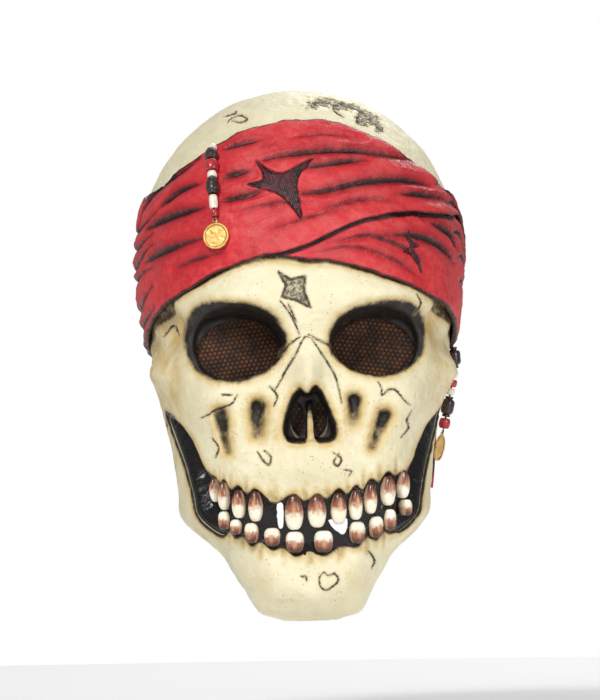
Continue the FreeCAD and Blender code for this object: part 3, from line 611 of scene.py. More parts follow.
def tooth_material():
    m = Nodes("tooth_latex", Coat_Weight=0.4, Coat_Roughness=0.15, Specular_IOR_Level=0.5)
    root, across = m.attribute("root"), m.attribute("across")
    uneven = m.math("ADD", root, m.ramp(m.noise(2.6, 3), 0.3, 0.7, -0.06, 0.06))
    base = m.mix(m.ramp(m.noise(7, 2), 0.4, 0.6), (0.92, 0.87, 0.72), (0.87, 0.80, 0.61))
    base = m.mix(m.ramp(uneven, 0.34, 0.58, 0, 0.95), base, (0.33, 0.085, 0.026))
    base = m.mix(m.ramp(uneven, 0.52, 0.88, 0, 0.95), base, (0.075, 0.016, 0.008))
    # A paler streak down the middle of each tooth: a painted highlight.
    highlight_streak = m.math("MULTIPLY", m.ramp(m.math("ABSOLUTE", across), 0.42, 0.06), m.ramp(uneven, 0.95, 0.5))
    base = m.mix(m.math("MULTIPLY", highlight_streak, m.ramp(uneven, 0.3, 0.5, 0, 0.6)), base, (0.72, 0.40, 0.22))
    edge = m.math("MULTIPLY", m.ramp(m.math("ABSOLUTE", across), 0.86, 0.97), 0.5)
    base = m.mix(edge, base, (0.78, 0.58, 0.40))
    # Near black where the root sinks into the gum: painted shade.
    base = m.mix(m.ramp(m.attribute("gum_shade"), 0.2, 0.8), base, (0.03, 0.012, 0.008))
    return m.finish(base, m.ramp(m.noise(4, 2), 0.3, 0.7, 0.2, 0.36), m.noise(2.4, 3), 0.25, 0.6)


def mesh_material():
    m = Nodes("eye_mesh", Specular_IOR_Level=0.3)
    dot = m.attribute("dot")
    base = m.mix(m.ramp(m.noise(6, 3), 0.35, 0.65), (0.014, 0.009, 0.007), (0.028, 0.016, 0.011))
    # The holes of the mesh are painted with the lit inside of the mask behind them: painted light.
    lit = m.ramp(m.noise(12, 3), 0.35, 0.65, 0.25, 1.0)
    base = m.mix(m.math("MULTIPLY", m.ramp(dot, 1.3, 0.8), lit), base, (0.15, 0.052, 0.016))
    base = m.mix(m.math("MULTIPLY", m.ramp(dot, 0.7, 0.1, 0, 0.5), lit), base, (0.26, 0.10, 0.03))
    # Near black towards the panel's edge, where the socket wall meets it: painted shade.
    base = m.mix(m.attribute("rim"), base, (0.012, 0.009, 0.007))
    return m.finish(base, m.ramp(m.noise(2, 3), 0.3, 0.7, 0.6, 0.85), m.noise(0.9, 3), 0.2, 0.7)


def bead_material(name, light, dark, low, high, coat):
    m = Nodes(name, Coat_Weight=coat, Coat_Roughness=0.1)
    base = m.mix(m.ramp(m.noise(3.5, 4, 0.6), 0.35, 0.7), light, dark)
    # Darker in the grooves and at the ends of the bore: painted shade.
    base = m.mix(m.ramp(m.attribute("groove"), 0.3, 1.0, 0, 0.8), base, tuple(c * 0.22 for c in dark))
    return m.finish(base, m.ramp(m.noise(2, 3), 0.3, 0.7, low, high), m.noise(1.6, 3), 0.12, 0.6)


def coin_material():
    m = Nodes("coin_metal", Metallic=0.55)
    base = m.mix(m.ramp(m.noise(5, 4, 0.6), 0.35, 0.7), (0.83, 0.52, 0.17), (0.66, 0.37, 0.10))
    base = m.mix(m.ramp(m.noise(1.8, 4, 0.7), 0.56, 0.74, 0, 0.7), base, (0.36, 0.20, 0.06))
    base = m.mix(m.ramp(m.attribute("groove"), 0.2, 0.9, 0, 0.85), base, (0.16, 0.08, 0.025))
    return m.finish(base, m.ramp(m.noise(3, 3), 0.3, 0.7, 0.34, 0.52), m.noise(1.2, 4, 0.65), 0.22, 0.7)


def cord_material(name, light, dark):
    m = Nodes(name)
    twist = m.add("ShaderNodeTexWave", {"Vector": m.scaled(1, 1, 1), "Scale": 1000 / 5.0,
                                        "Distortion": 2.0}, bands_direction="DIAGONAL").outputs["Fac"]
    base = m.mix(m.ramp(twist, 0.3, 0.8), dark, light)
    return m.finish(base, m.ramp(m.noise(1.5, 2), 0.3, 0.7, 0.6, 0.8), twist, 0.2, 0.8)


def wire_material():
    m = Nodes("ring_wire", Metallic=0.85)
    base = m.mix(m.ramp(m.noise(1.4, 3), 0.35, 0.7), (0.33, 0.28, 0.21), (0.12, 0.095, 0.07))
    return m.finish(base, m.ramp(m.noise(1, 3), 0.3, 0.7, 0.3, 0.5), m.noise(0.6, 2), 0.06, 0.6)


BONE, RED, BLACK, TOOTH, MESH = (bone_material(), red_material(), black_material(), tooth_material(),
                                 mesh_material())
COIN, WIRE = coin_material(), wire_material()
CORD = cord_material("cord", (0.075, 0.05, 0.035), (0.02, 0.013, 0.01))
BEADS = {"white": bead_material("bead_white", (0.84, 0.80, 0.70), (0.66, 0.58, 0.44), 0.22, 0.4, 0.35),
         "dark": bead_material("bead_dark", (0.040, 0.020, 0.016), (0.014, 0.009, 0.008), 0.2, 0.4, 0.4),
         "red": bead_material("bead_red", (0.50, 0.022, 0.028), (0.26, 0.012, 0.016), 0.2, 0.35, 0.5)}

# ---------------------------------------------------------------- strands
FRONT_BEADS = (("front_bead_1_white", 3.1, 5.0, 1.8), ("front_bead_2_dark", 4.3, 9.6, 3.2),
               ("front_bead_3_red", 4.4, 8.2, 2.4), ("front_bead_4_white", 3.2, 4.4, 2.0),
               ("front_bead_5_dark", 4.3, 11.0, 3.2), ("front_bead_6_white", 2.9, 9.2, 1.8),
               ("front_bead_7_red", 2.4, 4.6, 1.6))
SIDE_BEADS = (("side_bead_1_dark", 4.2, 14.0, 2.3), ("side_bead_2_white", 3.0, 5.6, 1.8),
              ("side_bead_3_red", 3.4, 5.0, 2.0), ("side_bead_4_white", 2.7, 4.4, 1.7),
              ("side_bead_5_dark", 4.2, 13.5, 2.6), ("side_bead_6_red", 3.7, 6.8, 2.0))
FIRST_BEAD, BEAD_GAP = 3.0, 0.9
FRONT_ROUTE = ((-0.056335, -0.060326, -0.033588), (-0.058435, -0.067311, -0.035294),
               (-0.058845, -0.075547, -0.042174), (-0.058731, -0.082879, -0.051206),
               (-0.058783, -0.08848, -0.060397), (-0.058466, -0.092732, -0.070382),
               (-0.05794, -0.095169, -0.079719))
SIDE_ROUTE = ((0.0993, 0.036, -0.1636), (0.1019, 0.0362, -0.1712), (0.1013, 0.0365, -0.1798),
              (0.0996, 0.0368, -0.1894), (0.0976, 0.0365, -0.1994), (0.0955, 0.0362, -0.2096),
              (0.0934, 0.0364, -0.2198))


def cord_curve(name, route, bevel):
    data = bpy.data.curves.new(name, "CURVE")
    data.dimensions = "3D"
    data.resolution_u = 16
    spline = data.splines.new("NURBS")
    spline.points.add(len(route) - 1)
    for point, place in zip(spline.points, route):
        point.co = (*place, 1.0)
    spline.order_u = 3
    spline.use_endpoint_u = True
    data.bevel_depth = bevel
    data.bevel_resolution = 4
    data.use_fill_caps = True
    made = bpy.data.objects.new(name, data)
    scene.collection.objects.link(made)
    return made


def path_of(route):
    """Points along the cord's own spline, and how far along each is, in metres."""
    bare = cord_curve("bare_path", route, 0.0)
    mesh = bpy.data.meshes.new_from_object(bare)
    points = np.array([v.co for v in mesh.vertices], float)
    bpy.data.meshes.remove(mesh)
    data = bare.data
    bpy.data.objects.remove(bare)
    bpy.data.curves.remove(data)
    return points, np.concatenate([[0], np.cumsum(np.linalg.norm(np.diff(points, axis=0), axis=1))])


def place_on(path, lengths, start, length):
    """Middle and direction of a bead that starts this far along the path."""
    at = [np.array([np.interp(start + part * length, lengths, path[:, k]) for k in range(3)])
          for part in (0, 0.5, 1)]
    heading = at[2] - at[0]
    return at[1] * 0.5 + (at[0] + at[2]) * 0.25, heading / np.linalg.norm(heading)


def bead_profile(kind, radius, length, end):
    """Half a bead's outline as distance along, radius and a mark for its grooves."""
    half = length / 2
    bore = 0.75 + 0.0045 * length ** 2
    if kind == "dark":
        lip = min(1.5, length * 0.14)
        return ((-half, bore, 0), (-half, (bore + end) / 2, 0), (-half + 0.25, end, 0),
                (-half + lip * 0.7, end + 0.1, 0), (-half + lip, end - 0.35, 1),
                (-half + lip * 1.3, end + 0.15, 0.3), (-half * 0.5, radius * 0.95, 0), (0, radius, 0),
                (half * 0.5, radius * 0.95, 0), (half - lip * 1.3, end + 0.15, 0.3),
                (half - lip, end - 0.35, 1), (half - lip * 0.7, end + 0.1, 0), (half - 0.25, end, 0),
                (half, (bore + end) / 2, 0), (half, bore, 0))
    steps = np.radians(np.linspace(-90, 90, 11))
    body = [(half * np.sin(a), end + (radius - end) * np.cos(a) ** 0.8, 0) for a in steps[1:-1]]
    return ((-half, bore, 0.6), (-half, (bore + end) / 2, 0.2), *body, (half, (bore + end) / 2, 0.2),
            (half, bore, 0.6))


def lathe(profile, middle, heading, round_steps=28, wobble=0.0, seed=0):
    """Turns a profile about heading; returns points in mm, quads and the groove marks."""
    profile = np.asarray(profile, float)
    along = curve(profile[:, :2], 3)
    mark = np.interp(np.linspace(0, 1, len(along)), np.linspace(0, 1, len(profile)), profile[:, 2])
    axis = Vector(heading)
    across = axis.orthogonal().normalized()
    other = axis.cross(across)
    angle = np.linspace(0, 2 * np.pi, round_steps, endpoint=False)
    ring = np.cos(angle)[:, None] * np.array(across) + np.sin(angle)[:, None] * np.array(other)
    points = (np.asarray(middle) + along[:, 0][:, None, None] * np.asarray(heading)
              + along[:, 1][:, None, None] * ring[None])
    points = points.reshape(-1, 3)
    if wobble:
        points = points + wobble * noise(points, 3.0, seed)[:, None] * np.tile(ring, (len(along), 1))
    faces = grid_faces(len(along), round_steps, closed=True)
    last = np.array([[k, (k + 1) % round_steps] for k in range(round_steps)])
    low, high = last, last + (len(along) - 1) * round_steps
    bore = np.stack([high[:, 0], high[:, 1], low[:, 1], low[:, 0]], 1)
    return points, np.vstack([faces, bore]), np.repeat(mark, round_steps)


def strand(body, coin_body, cord_name, route, beads, ring, coin):
    path, lengths = path_of(route)
    distance = FIRST_BEAD
    for number, (name, radius, length, end) in enumerate(beads):
        kind = name.rsplit("_", 1)[1]
        middle, heading = place_on(path, lengths, distance / 1000, length / 1000)
        points, faces, mark = lathe(bead_profile(kind, radius, length, end), to_mm(middle), heading,
                                    wobble=0.12, seed=number)
        add_mesh(name + "_bead", points, faces, BEADS[kind], {"groove": mark}, body, (name,))
        distance += length + BEAD_GAP
    cord = cord_curve(cord_name + "_line", route, CORD_RADIUS / 1000)
    cord.data.materials.append(CORD)
    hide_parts(cord_name)
    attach(cord, body)
    ring_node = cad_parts[ring]
    ring_node.data.materials.clear()
    ring_node.data.materials.append(WIRE)
    # The coin keeps the place of its CAD solid: its thinnest direction is its axis.
    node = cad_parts[coin]
    corners = to_mm([v.co for v in node.data.vertices])
    middle = (corners.min(0) + corners.max(0)) / 2
    _, _, axes = np.linalg.svd(corners - corners.mean(0), full_matrices=False)
    axis = axes[2] * np.sign(axes[2] @ np.array([0.3, -1, 0.05]))
    up = np.array([0, 0, 1.0]) - axis[2] * axis
    up /= np.linalg.norm(up)
    top = corners[np.argmax(corners @ up)] @ up
    centre = middle + up * (top - middle @ up - BAIL_RADIUS - COIN_DROP)
    flat = ((0.35, 0.0, 0), (0.4, 3.0, 0), (0.36, 6.2, 0), (0.38, 6.9, 0.7), (0.62, 7.25, 0.9),
            (0.92, 7.6, 0), (0.95, 8.1, 0), (0.6, 8.55, 0), (0.0, 8.62, 0.2), (-0.6, 8.55, 0),
            (-0.95, 8.1, 0), (-0.92, 7.6, 0), (-0.62, 7.25, 0.9), (-0.38, 6.9, 0.7), (-0.36, 6.2, 0),
            (-0.4, 3.0, 0), (-0.35, 0.0, 0))
    points, faces, mark = lathe(flat, centre, axis, 72, 0.16, 3)
    faces = faces[:-72]
    points = points + 0.18 * noise(points, 2.2, 5)[:, None] * axis
    bail, bail_faces, bail_mark = lathe([(-0.6, 0.68, 0.5), (-0.6, 1.0, 0), (0, 1.1, 0), (0.6, 1.0, 0),
                                         (0.6, 0.68, 0.5)], centre + up * COIN_DROP, np.cross(up, axis), 20)
    made = add_mesh(coin + "_disc", np.vstack([points, bail]), np.vstack([faces, bail_faces + len(points)]),
                    COIN, {"groove": np.concatenate([mark, bail_mark])}, coin_body, (coin,))


strand("front_strand", "front_coin", "front_cord", FRONT_ROUTE, FRONT_BEADS, "front_jump_ring", "front_coin")
strand("side_strand", "side_coin", "side_cord", SIDE_ROUTE, SIDE_BEADS, "side_jump_ring", "side_coin")

# ---------------------------------------------------------------- edges of the pieces
JAW_TOP = ((-160, 44), (-118, 44), (-103, 48), (-90, 56), (-79, 66), (-66, 84), (-50, 103), (-34, 117),
           (-20, 124))
JAW_REAR = ((10, 121), (11, 106), (5, 85), (-8, 66), (-31, 46), (-57, 22), (-70, 10), (-75, 2), (-76, -6))
SKULL_LOW = ((-150, 86), (-118, 86), (-104, 88), (-92, 94), (-83, 103), (-76, 114), (-64, 125),
             (-46, 132), (-28, 135), (-17, 134))
SKULL_HEM = ((12, 127), (22, 114), (40, 104), (62, 95), (90, 87), (150, 83))


def hinge_arc(radius, start, end):
    a = np.radians(np.linspace(start, end, 14))
    return np.column_stack([HINGE[0] - radius * np.sin(a), HINGE[1] - radius * np.cos(a)])


def arc_end(radius, degrees):
    return hinge_arc(radius, degrees, degrees)[:1]


JAW_SIDE = np.vstack([curve(np.vstack([JAW_TOP[:-1], arc_end(JAW_ARC, 60)])), hinge_arc(JAW_ARC, 60, -48),
                      curve(np.vstack([arc_end(JAW_ARC, -48), JAW_REAR])), [(-160, -6)]])
BELOW_SKULL = np.vstack([curve(np.vstack([SKULL_LOW[:-1], arc_end(SKULL_ARC, 66)])),
                         hinge_arc(SKULL_ARC, 66, -66),
                         curve(np.vstack([arc_end(SKULL_ARC, -66), SKULL_HEM[1:]])),
                         [(150, -60), (-150, -60)]])

UPPER_TEETH = ((-60.7, 85.2, 3.2, 8.0), (-55.3, 81.3, 4.2, 9.3), (-46.1, 76.0, 5.0, 9.3),
               (-35.4, 74.5, 5.3, 10.0), (-10.5, 70.2, 6.8, 11.5), (4.3, 71.0, 6.8, 11.0),
               (18.4, 72.3, 5.8, 10.5), (29.6, 74.5, 5.0, 10.0), (39.4, 78.2, 4.7, 10.0),
               (51.2, 83.0, 5.7, 9.8), (61.5, 86.8, 4.2, 9.2))
LOWER_TEETH = ((-55.5, 65.2, 4.2, 6.0), (-48.0, 61.0, 4.2, 5.0), (-38.2, 57.0, 5.2, 6.6),
               (-24.8, 54.2, 6.0, 6.0), (-10.2, 50.8, 6.8, 7.0), (8.4, 50.8, 7.0, 7.2),
               (30.6, 56.3, 6.0, 7.2), (43.1, 59.6, 5.3, 7.0), (52.2, 63.9, 4.4, 7.0),
               (63.3, 71.5, 3.8, 5.3))
upper_edge_at = table(((-63, 95), (-58, 92.3), (-47, 87.0), (-36.5, 85.0), (-24, 80), (-11.5, 80.6),
                       (4.6, 80.9), (18, 83.8), (30, 86.2), (40, 90.0), (51.8, 94.5), (63, 97)))
lower_edge_at = table(((-60, 58), (-55.5, 57.5), (-48, 54.5), (-38, 49.5), (-25, 47), (-10, 42.8),
                       (8.4, 42.6), (20, 45), (30.6, 48), (43, 51.6), (52, 56), (60, 62)))


def scallop(x, teeth):
    """1 midway between two teeth, 0 at a tooth's middle."""
    centres = np.array([t[0] for t in teeth])
    i = np.clip(np.searchsorted(centres, x), 1, len(centres) - 1)
    t = (x - centres[i - 1]) / (centres[i] - centres[i - 1])
    inside = (t > 0) & (t < 1)
    return np.where(inside, np.sin(np.pi * np.clip(t, 0, 1)) ** 2, 0)


def keep_skull(p):
    side = outline_distance(p[:, 1:], BELOW_SKULL)
    front = p[:, 2] - (upper_edge_at(p[:, 0]) - 4.2 * scallop(p[:, 0], UPPER_TEETH))
    share = step_between(64, 54, np.abs(p[:, 0])) * step_between(-60, -80, p[:, 1])
    return side * (1 - share) + np.minimum(front, side + 12) * share


def keep_jaw(p):
    side = -outline_distance(p[:, 1:], JAW_SIDE)
    front = (lower_edge_at(p[:, 0]) + 3.6 * scallop(p[:, 0], LOWER_TEETH)) - p[:, 2]
    share = step_between(60, 50, np.abs(p[:, 0])) * step_between(-60, -80, p[:, 1])
    return side * (1 - share) + np.minimum(front, side + 12) * share


BAND_REAR_TOP = table(((-160, 420), (-62, 345), (-30, 306), (5, 287), (60, 266), (150, 236)))
BAND_LOW = table(((-160, 240), (-112, 237), (-95, 223), (-62, 203), (-20, 187), (15, 177), (50, 169),
                  (90, 155), (150, 136)))
low_shift_at = table(((-90, 0), (-70, -2), (-48, 2), (-25, 1.5), (0, -2.5), (23, -4), (48, -8), (62, -7),
                      (80, -4), (95, 0)))
CROSSING = table(((-26, 236), (0, 242), (30, 255), (62, 261), (98, 259), (140, 262)))
CROSSING_REAR = table(((-160, 300), (-60, 280), (-10, 262), (28, 230), (58, 184), (64, 130)))


def band_low(p):
    return BAND_LOW(p[:, 1]) + low_shift_at(p[:, 0]) * step_between(-50, -75, p[:, 1])


def band_top(p):
    return np.minimum(ARCH_TOP - ARCH_DROP * p[:, 0] ** 2, BAND_REAR_TOP(p[:, 1]))


# ---------------------------------------------------------------- the bone's shape
SOCKET_RIGHT = ((-68, 203.5), (-52, 205), (-35, 203), (-22, 196), (-14.5, 184), (-15, 174), (-23, 164),
                (-36, 157.5), (-50, 155), (-64, 158.5), (-74, 168), (-77, 181), (-75, 194))
SOCKET_LEFT = ((25, 197.5), (38, 202.5), (54, 204.5), (68, 202.5), (75, 194), (76.5, 182), (73, 168),
               (61, 160), (46, 157), (31, 160.5), (20, 168), (14.5, 177), (16.5, 189))
NOSE = ((-5.5, 150.5), (-0.8, 147.2), (4.6, 152), (10.8, 145.5), (15.4, 134), (19, 123), (16.5, 115.8),
        (8, 114), (1.5, 115.8), (-6, 114), (-14.5, 116), (-17, 124), (-15.2, 134), (-11, 145))
FLOOR_RIGHT = ((-70.5, 176), (-66, 190), (-48, 195), (-30, 192), (-17.5, 182), (-18, 171), (-29, 160),
               (-46, 155.5), (-64, 160))
FLOOR_LEFT = ((70.5, 176), (66, 190), (48, 194), (31, 190.5), (18.5, 180), (19, 170), (30, 160.5),
              (46, 156.5), (64, 160.5))
NOSE_FLOOR = ((-4.5, 146), (0.2, 144.5), (5, 146.5), (9.5, 140), (13, 130), (15.5, 121), (12, 117),
              (1, 117), (-10.5, 117), (-13.8, 122), (-12, 132), (-9, 140))
# Hollows of the cheeks: ends as x and height, half-widths at both ends, depth.
GROOVES = (((-32.3, 138), (-32.8, 121), 6.4, 5.2, 7.5), ((-56.0, 133.5), (-52.0, 110), 5.4, 2.6, 5.4),
           ((29.6, 141.5), (29.2, 128), 5.8, 4.4, 7.0), ((49.2, 131), (41.0, 111.5), 5.6, 3.0, 6.0))
CHIP = ((-17.7, 224.7), (-10, 220), (-0.7, 221.8), (-1.5, 212), (2.3, 201.5), (-7, 206.3), (-16, 208.6),
        (-13.2, 216))
SCULPT_FRONT = FRONT_RELIEF + (
    (22, 203, 12, 7, 2.5), (-22, 203, 12, 7, 2.5), (58, 209, 18, 6, 2.5), (-58, 209, 18, 6, 2.5),
    (0, 194, 12, 9, 2), (0, 98, 46, 8, 3), (0, 20, 20, 11, 3.5), (0, 43, 30, 7, -2.2),
    (24, 28, 12, 12, 1.5), (-24, 28, 12, 12, 1.5), (0, 224, 9, 24, -1.2), (79, 178, 7, 16, 5),
    (-79, 178, 7, 16, 5), (60, 128, 10, 8, 2.5), (-60, 128, 10, 8, 2.5), (14, 108, 6, 9, -1.6),
    (-14, 108, 6, 9, -1.6), (44, 46, 9, 9, -1.5), (-44, 46, 9, 9, -1.5))
SCULPT_SIDE = SIDE_RELIEF + ((-58, 190, 18, 18, -12), (-20, 178, 18, 9, -5), (-50, 160, 14, 8, 5),
                             (-66, 204, 14, 10, 3), (-20, 70, 10, 12, 2), (-34, 92, 9, 16, 1.2))


def groove_distance(p):
    """How deep a place of the face lies in the hollows of the cheeks: 0 outside, 1 at the middle."""
    inside, halo = np.zeros(len(p)), np.zeros(len(p))
    depth = np.zeros(len(p))
    for a, b, ra, rb, deep in GROOVES:
        a, b = np.array(a, float), np.array(b, float)
        d = b - a
        t = np.clip(((p - a) @ d) / (d @ d), 0, 1)
        r = ra + (rb - ra) * t
        away = np.linalg.norm(p - a - t[:, None] * d, axis=1)
        one = step_between(r + 2.2, r * 0.15, away) * (1 - 0.45 * t)
        inside = np.maximum(inside, one)
        depth = np.maximum(depth, deep * (1 - 0.4 * t) * step_between(r + 2.5, 0, away))
        halo = np.maximum(halo, step_between(r + 9, r - 1.5, away))
    return inside, halo, depth


def bone_field():
    origin = np.array([-113.0, -130.0, -8.0])
    top = np.array([113.0, 138.0, 348.0])
    counts = np.ceil((top - origin) / PITCH).astype(int) + 1
    x, y, h = (origin[k] + PITCH * np.arange(counts[k]) for k in range(3))
    low = np.clip(h, 0, WIDE)
    half, front, middle, back, power = (f(low)[None, None, :] for f in
                                        (half_width_at, front_at, middle_at, back_at, power_at))
    X, Y, H = x[:, None, None], y[None, :, None], h[None, None, :]
    ahead = (Y < middle)
    n = np.where(ahead, power, 2.2)
    depth = np.where(ahead, middle - front, back - middle)
    q = (np.abs(X) / half) ** n + (np.abs(Y - middle) / depth) ** n
    share = np.clip((H - WIDE) / CROWN_RISE, 0, None)
    f = np.sqrt(q ** (2 / n) + share ** 2.1) - 1
    gx, gy, gz = np.gradient(f, PITCH)
    field = (f / np.maximum(np.sqrt(gx**2 + gy**2 + gz**2), 0.004)).astype(np.float32)
    del gx, gy, gz, f, q
    field = blend_max(field, (-H + 0 * field).astype(np.float32), 7.0)
    # Swellings and hollows, faded out behind the middle.
    ahead_share = step_between(-20, -60, y)[None, :, None]
    field -= (bump(x[:, None], h[None, :], SCULPT_FRONT)[:, None, :] * ahead_share).astype(np.float32)
    outward = step_between(40, 62, np.abs(x))[:, None, None]
    field -= (bump(y[:, None], h[None, :], SCULPT_SIDE)[None] * outward).astype(np.float32)
    plane = np.stack(np.meshgrid(x, h, indexing="ij"), -1).reshape(-1, 2)
    shape = (len(x), 1, len(h))
    _, _, deep = groove_distance(plane)
    field += (deep.reshape(shape) * step_between(-70, -85, y)[None, :, None]).astype(np.float32)
    for outline, floor, level, start, soft in ((SOCKET_RIGHT, FLOOR_RIGHT, EYE_FLOOR_Y, -110, 3.0),
                                               (SOCKET_LEFT, FLOOR_LEFT, EYE_FLOOR_Y, -110, 3.0),
                                               (NOSE, NOSE_FLOOR, NOSE_FLOOR_Y, -118, 2.0)):
        flat = outline_distance(plane, curve(outline, 6, True)).reshape(shape)
        deep_flat = outline_distance(plane, curve(floor, 6, True)).reshape(shape)
        hole = flat + (deep_flat - flat) * np.clip((Y - start) / (level - start), -0.4, 1.0)
        hole = blend_max(hole, Y - level, 3.0)
        near = (y > start - 18) & (y < level + 14)
        part = field[:, near]
        field[:, near] = blend_max(part, (-hole[:, near]).astype(np.float32), soft)
    # The wall between the nostrils leans back as it rises.
    wall = np.maximum(np.abs(X - 1.2) - 1.5 - 0.03 * np.maximum(140 - H, 0),
                      np.maximum(-112 + 0.55 * np.maximum(H - 116, 0) - Y, np.maximum(H - 141, 112 - H)))
    wall = np.maximum(wall, Y + 94.5)
    field = blend_min(field, wall.astype(np.float32), 2.0)
    return field, origin


field, field_origin = bone_field()
bone_points, bone_quads = surface_net(field, field_origin, PITCH)
bone_points = settle(bone_points, bone_quads, field, field_origin, PITCH)
bone_faces = halves(bone_quads)

# Blots of black paint on the crown: X, height and half-sizes.
PATCH = ((16, 334, 5.5, 2.2), (24, 337, 5, 1.8), (27, 331.5, 6, 2.6), (36, 331, 6, 2.8), (33, 336, 4, 1.6),
         (43, 327, 4.5, 2.6), (48, 322, 3.5, 3), (51.5, 316.5, 2.4, 2.6), (9, 331, 3, 1.4), (40, 322, 3, 2))
# Cracks and small loops of the face and crown, as X and height.
LINES = [((-69.2, 131), (-62, 134.5), (-55, 137.5), (-49, 140.5), (-45.7, 146)),
         ((-55.4, 146.3), (-49, 146.1)),
         ((1.8, 182), (-2, 182), (-8, 171.8), (-14.6, 160.3), (-18.6, 152.7), (-21.5, 148.5)),
         ((-24.4, 151), (-20, 145), (-22.1, 138.6)), ((-4.6, 182.7), (-12, 177.5), (-18.3, 170.7)),
         ((2.5, 182), (10, 171.5), (16.3, 161), (18.7, 154.6), (20.5, 146.2), (21.7, 139.8)),
         ((1.2, 184), (9, 179.5), (15.3, 176.5), (16.5, 171.4)),
         ((45.7, 152.8), (47.6, 149), (48.1, 144.4), (52.5, 148), (57.2, 147.5), (62.2, 141), (66, 137.7)),
         ((67.3, 134), (64, 128), (65, 123), (59.9, 117)), ((-90, 184), (-84.2, 191), (-81, 184.7)),
         ((-17, 206), (-10, 196), (-5.2, 184.6)), ((-12, 204), (-7, 192)),
         ((-33, 109), (-30, 104), (-26.5, 101), (-25, 106), (-29, 110)),
         ((15, 108), (20.5, 104), (18, 99.5), (15.5, 102), (19, 107)), ((22, 97), (27, 95.5), (25.5, 93)),
         ((-6.5, 29), (-3.5, 28.6), (-3.2, 26)),
         ((5, 28), (8, 31), (11, 29), (15, 30), (17.5, 26), (14, 22), (9, 19.5), (5.5, 22.5), (5, 28)),
         ((-50, 326), (-48, 330), (-43, 331), (-41, 328.5), (-45, 327), (-50, 326)),
         ((-47, 321.5), (-44, 325), (-38, 326.5), (-34.5, 323.5), (-39, 321.5), (-44, 323)),
         ((14, 338), (24, 335), (31, 331), (40, 328), (48, 320), (54, 314.5)),
         ((24, 335), (22, 329), (28, 324)), ((31, 331), (37, 334), (44, 333)),
         ((40, 328), (37, 321), (44, 318)), ((20, 339), (30, 337), (36, 338.5)),
         ((7, 332.5), (16, 334), (25, 332)), ((-62, 118), (-58, 112), (-60, 106)),
         ((70, 196), (75, 203), (72, 209)), ((-8, 60), (-12, 55)), ((38, 44), (42, 38), (40, 33))]
side_lines = [curve(on_head(np.array(a), np.array(h))[0], 4) for a, h in
              (((205, 211, 209, 215), (222, 214, 206, 198)), ((98, 104, 101, 108), (330, 318, 305, 296)),
               ((62, 70, 66, 74), (326, 315, 309, 300)), ((140, 135, 139, 132), (150, 139, 128, 116)),
               ((60, 66, 63, 70), (148, 136, 128, 118)), ((100, 96, 101, 95), (128, 118, 109, 99)),
               ((188, 182, 186, 180), (172, 163, 156, 148)), ((-5, -11, -6, -12), (170, 161, 155, 147)))]


# Brown airbrush and painted shade in the hollows of the sides: Y, height, half-widths and strength.
SIDE_STAINS_AND_SHADE = ((-60, 186, 17, 17, 0.7), (-26, 172, 16, 9, 0.55), (-38, 128, 24, 13, 0.6),
               (-14, 96, 10, 22, 0.45), (-58, 52, 18, 12, 0.35), (30, 120, 16, 14, 0.4))


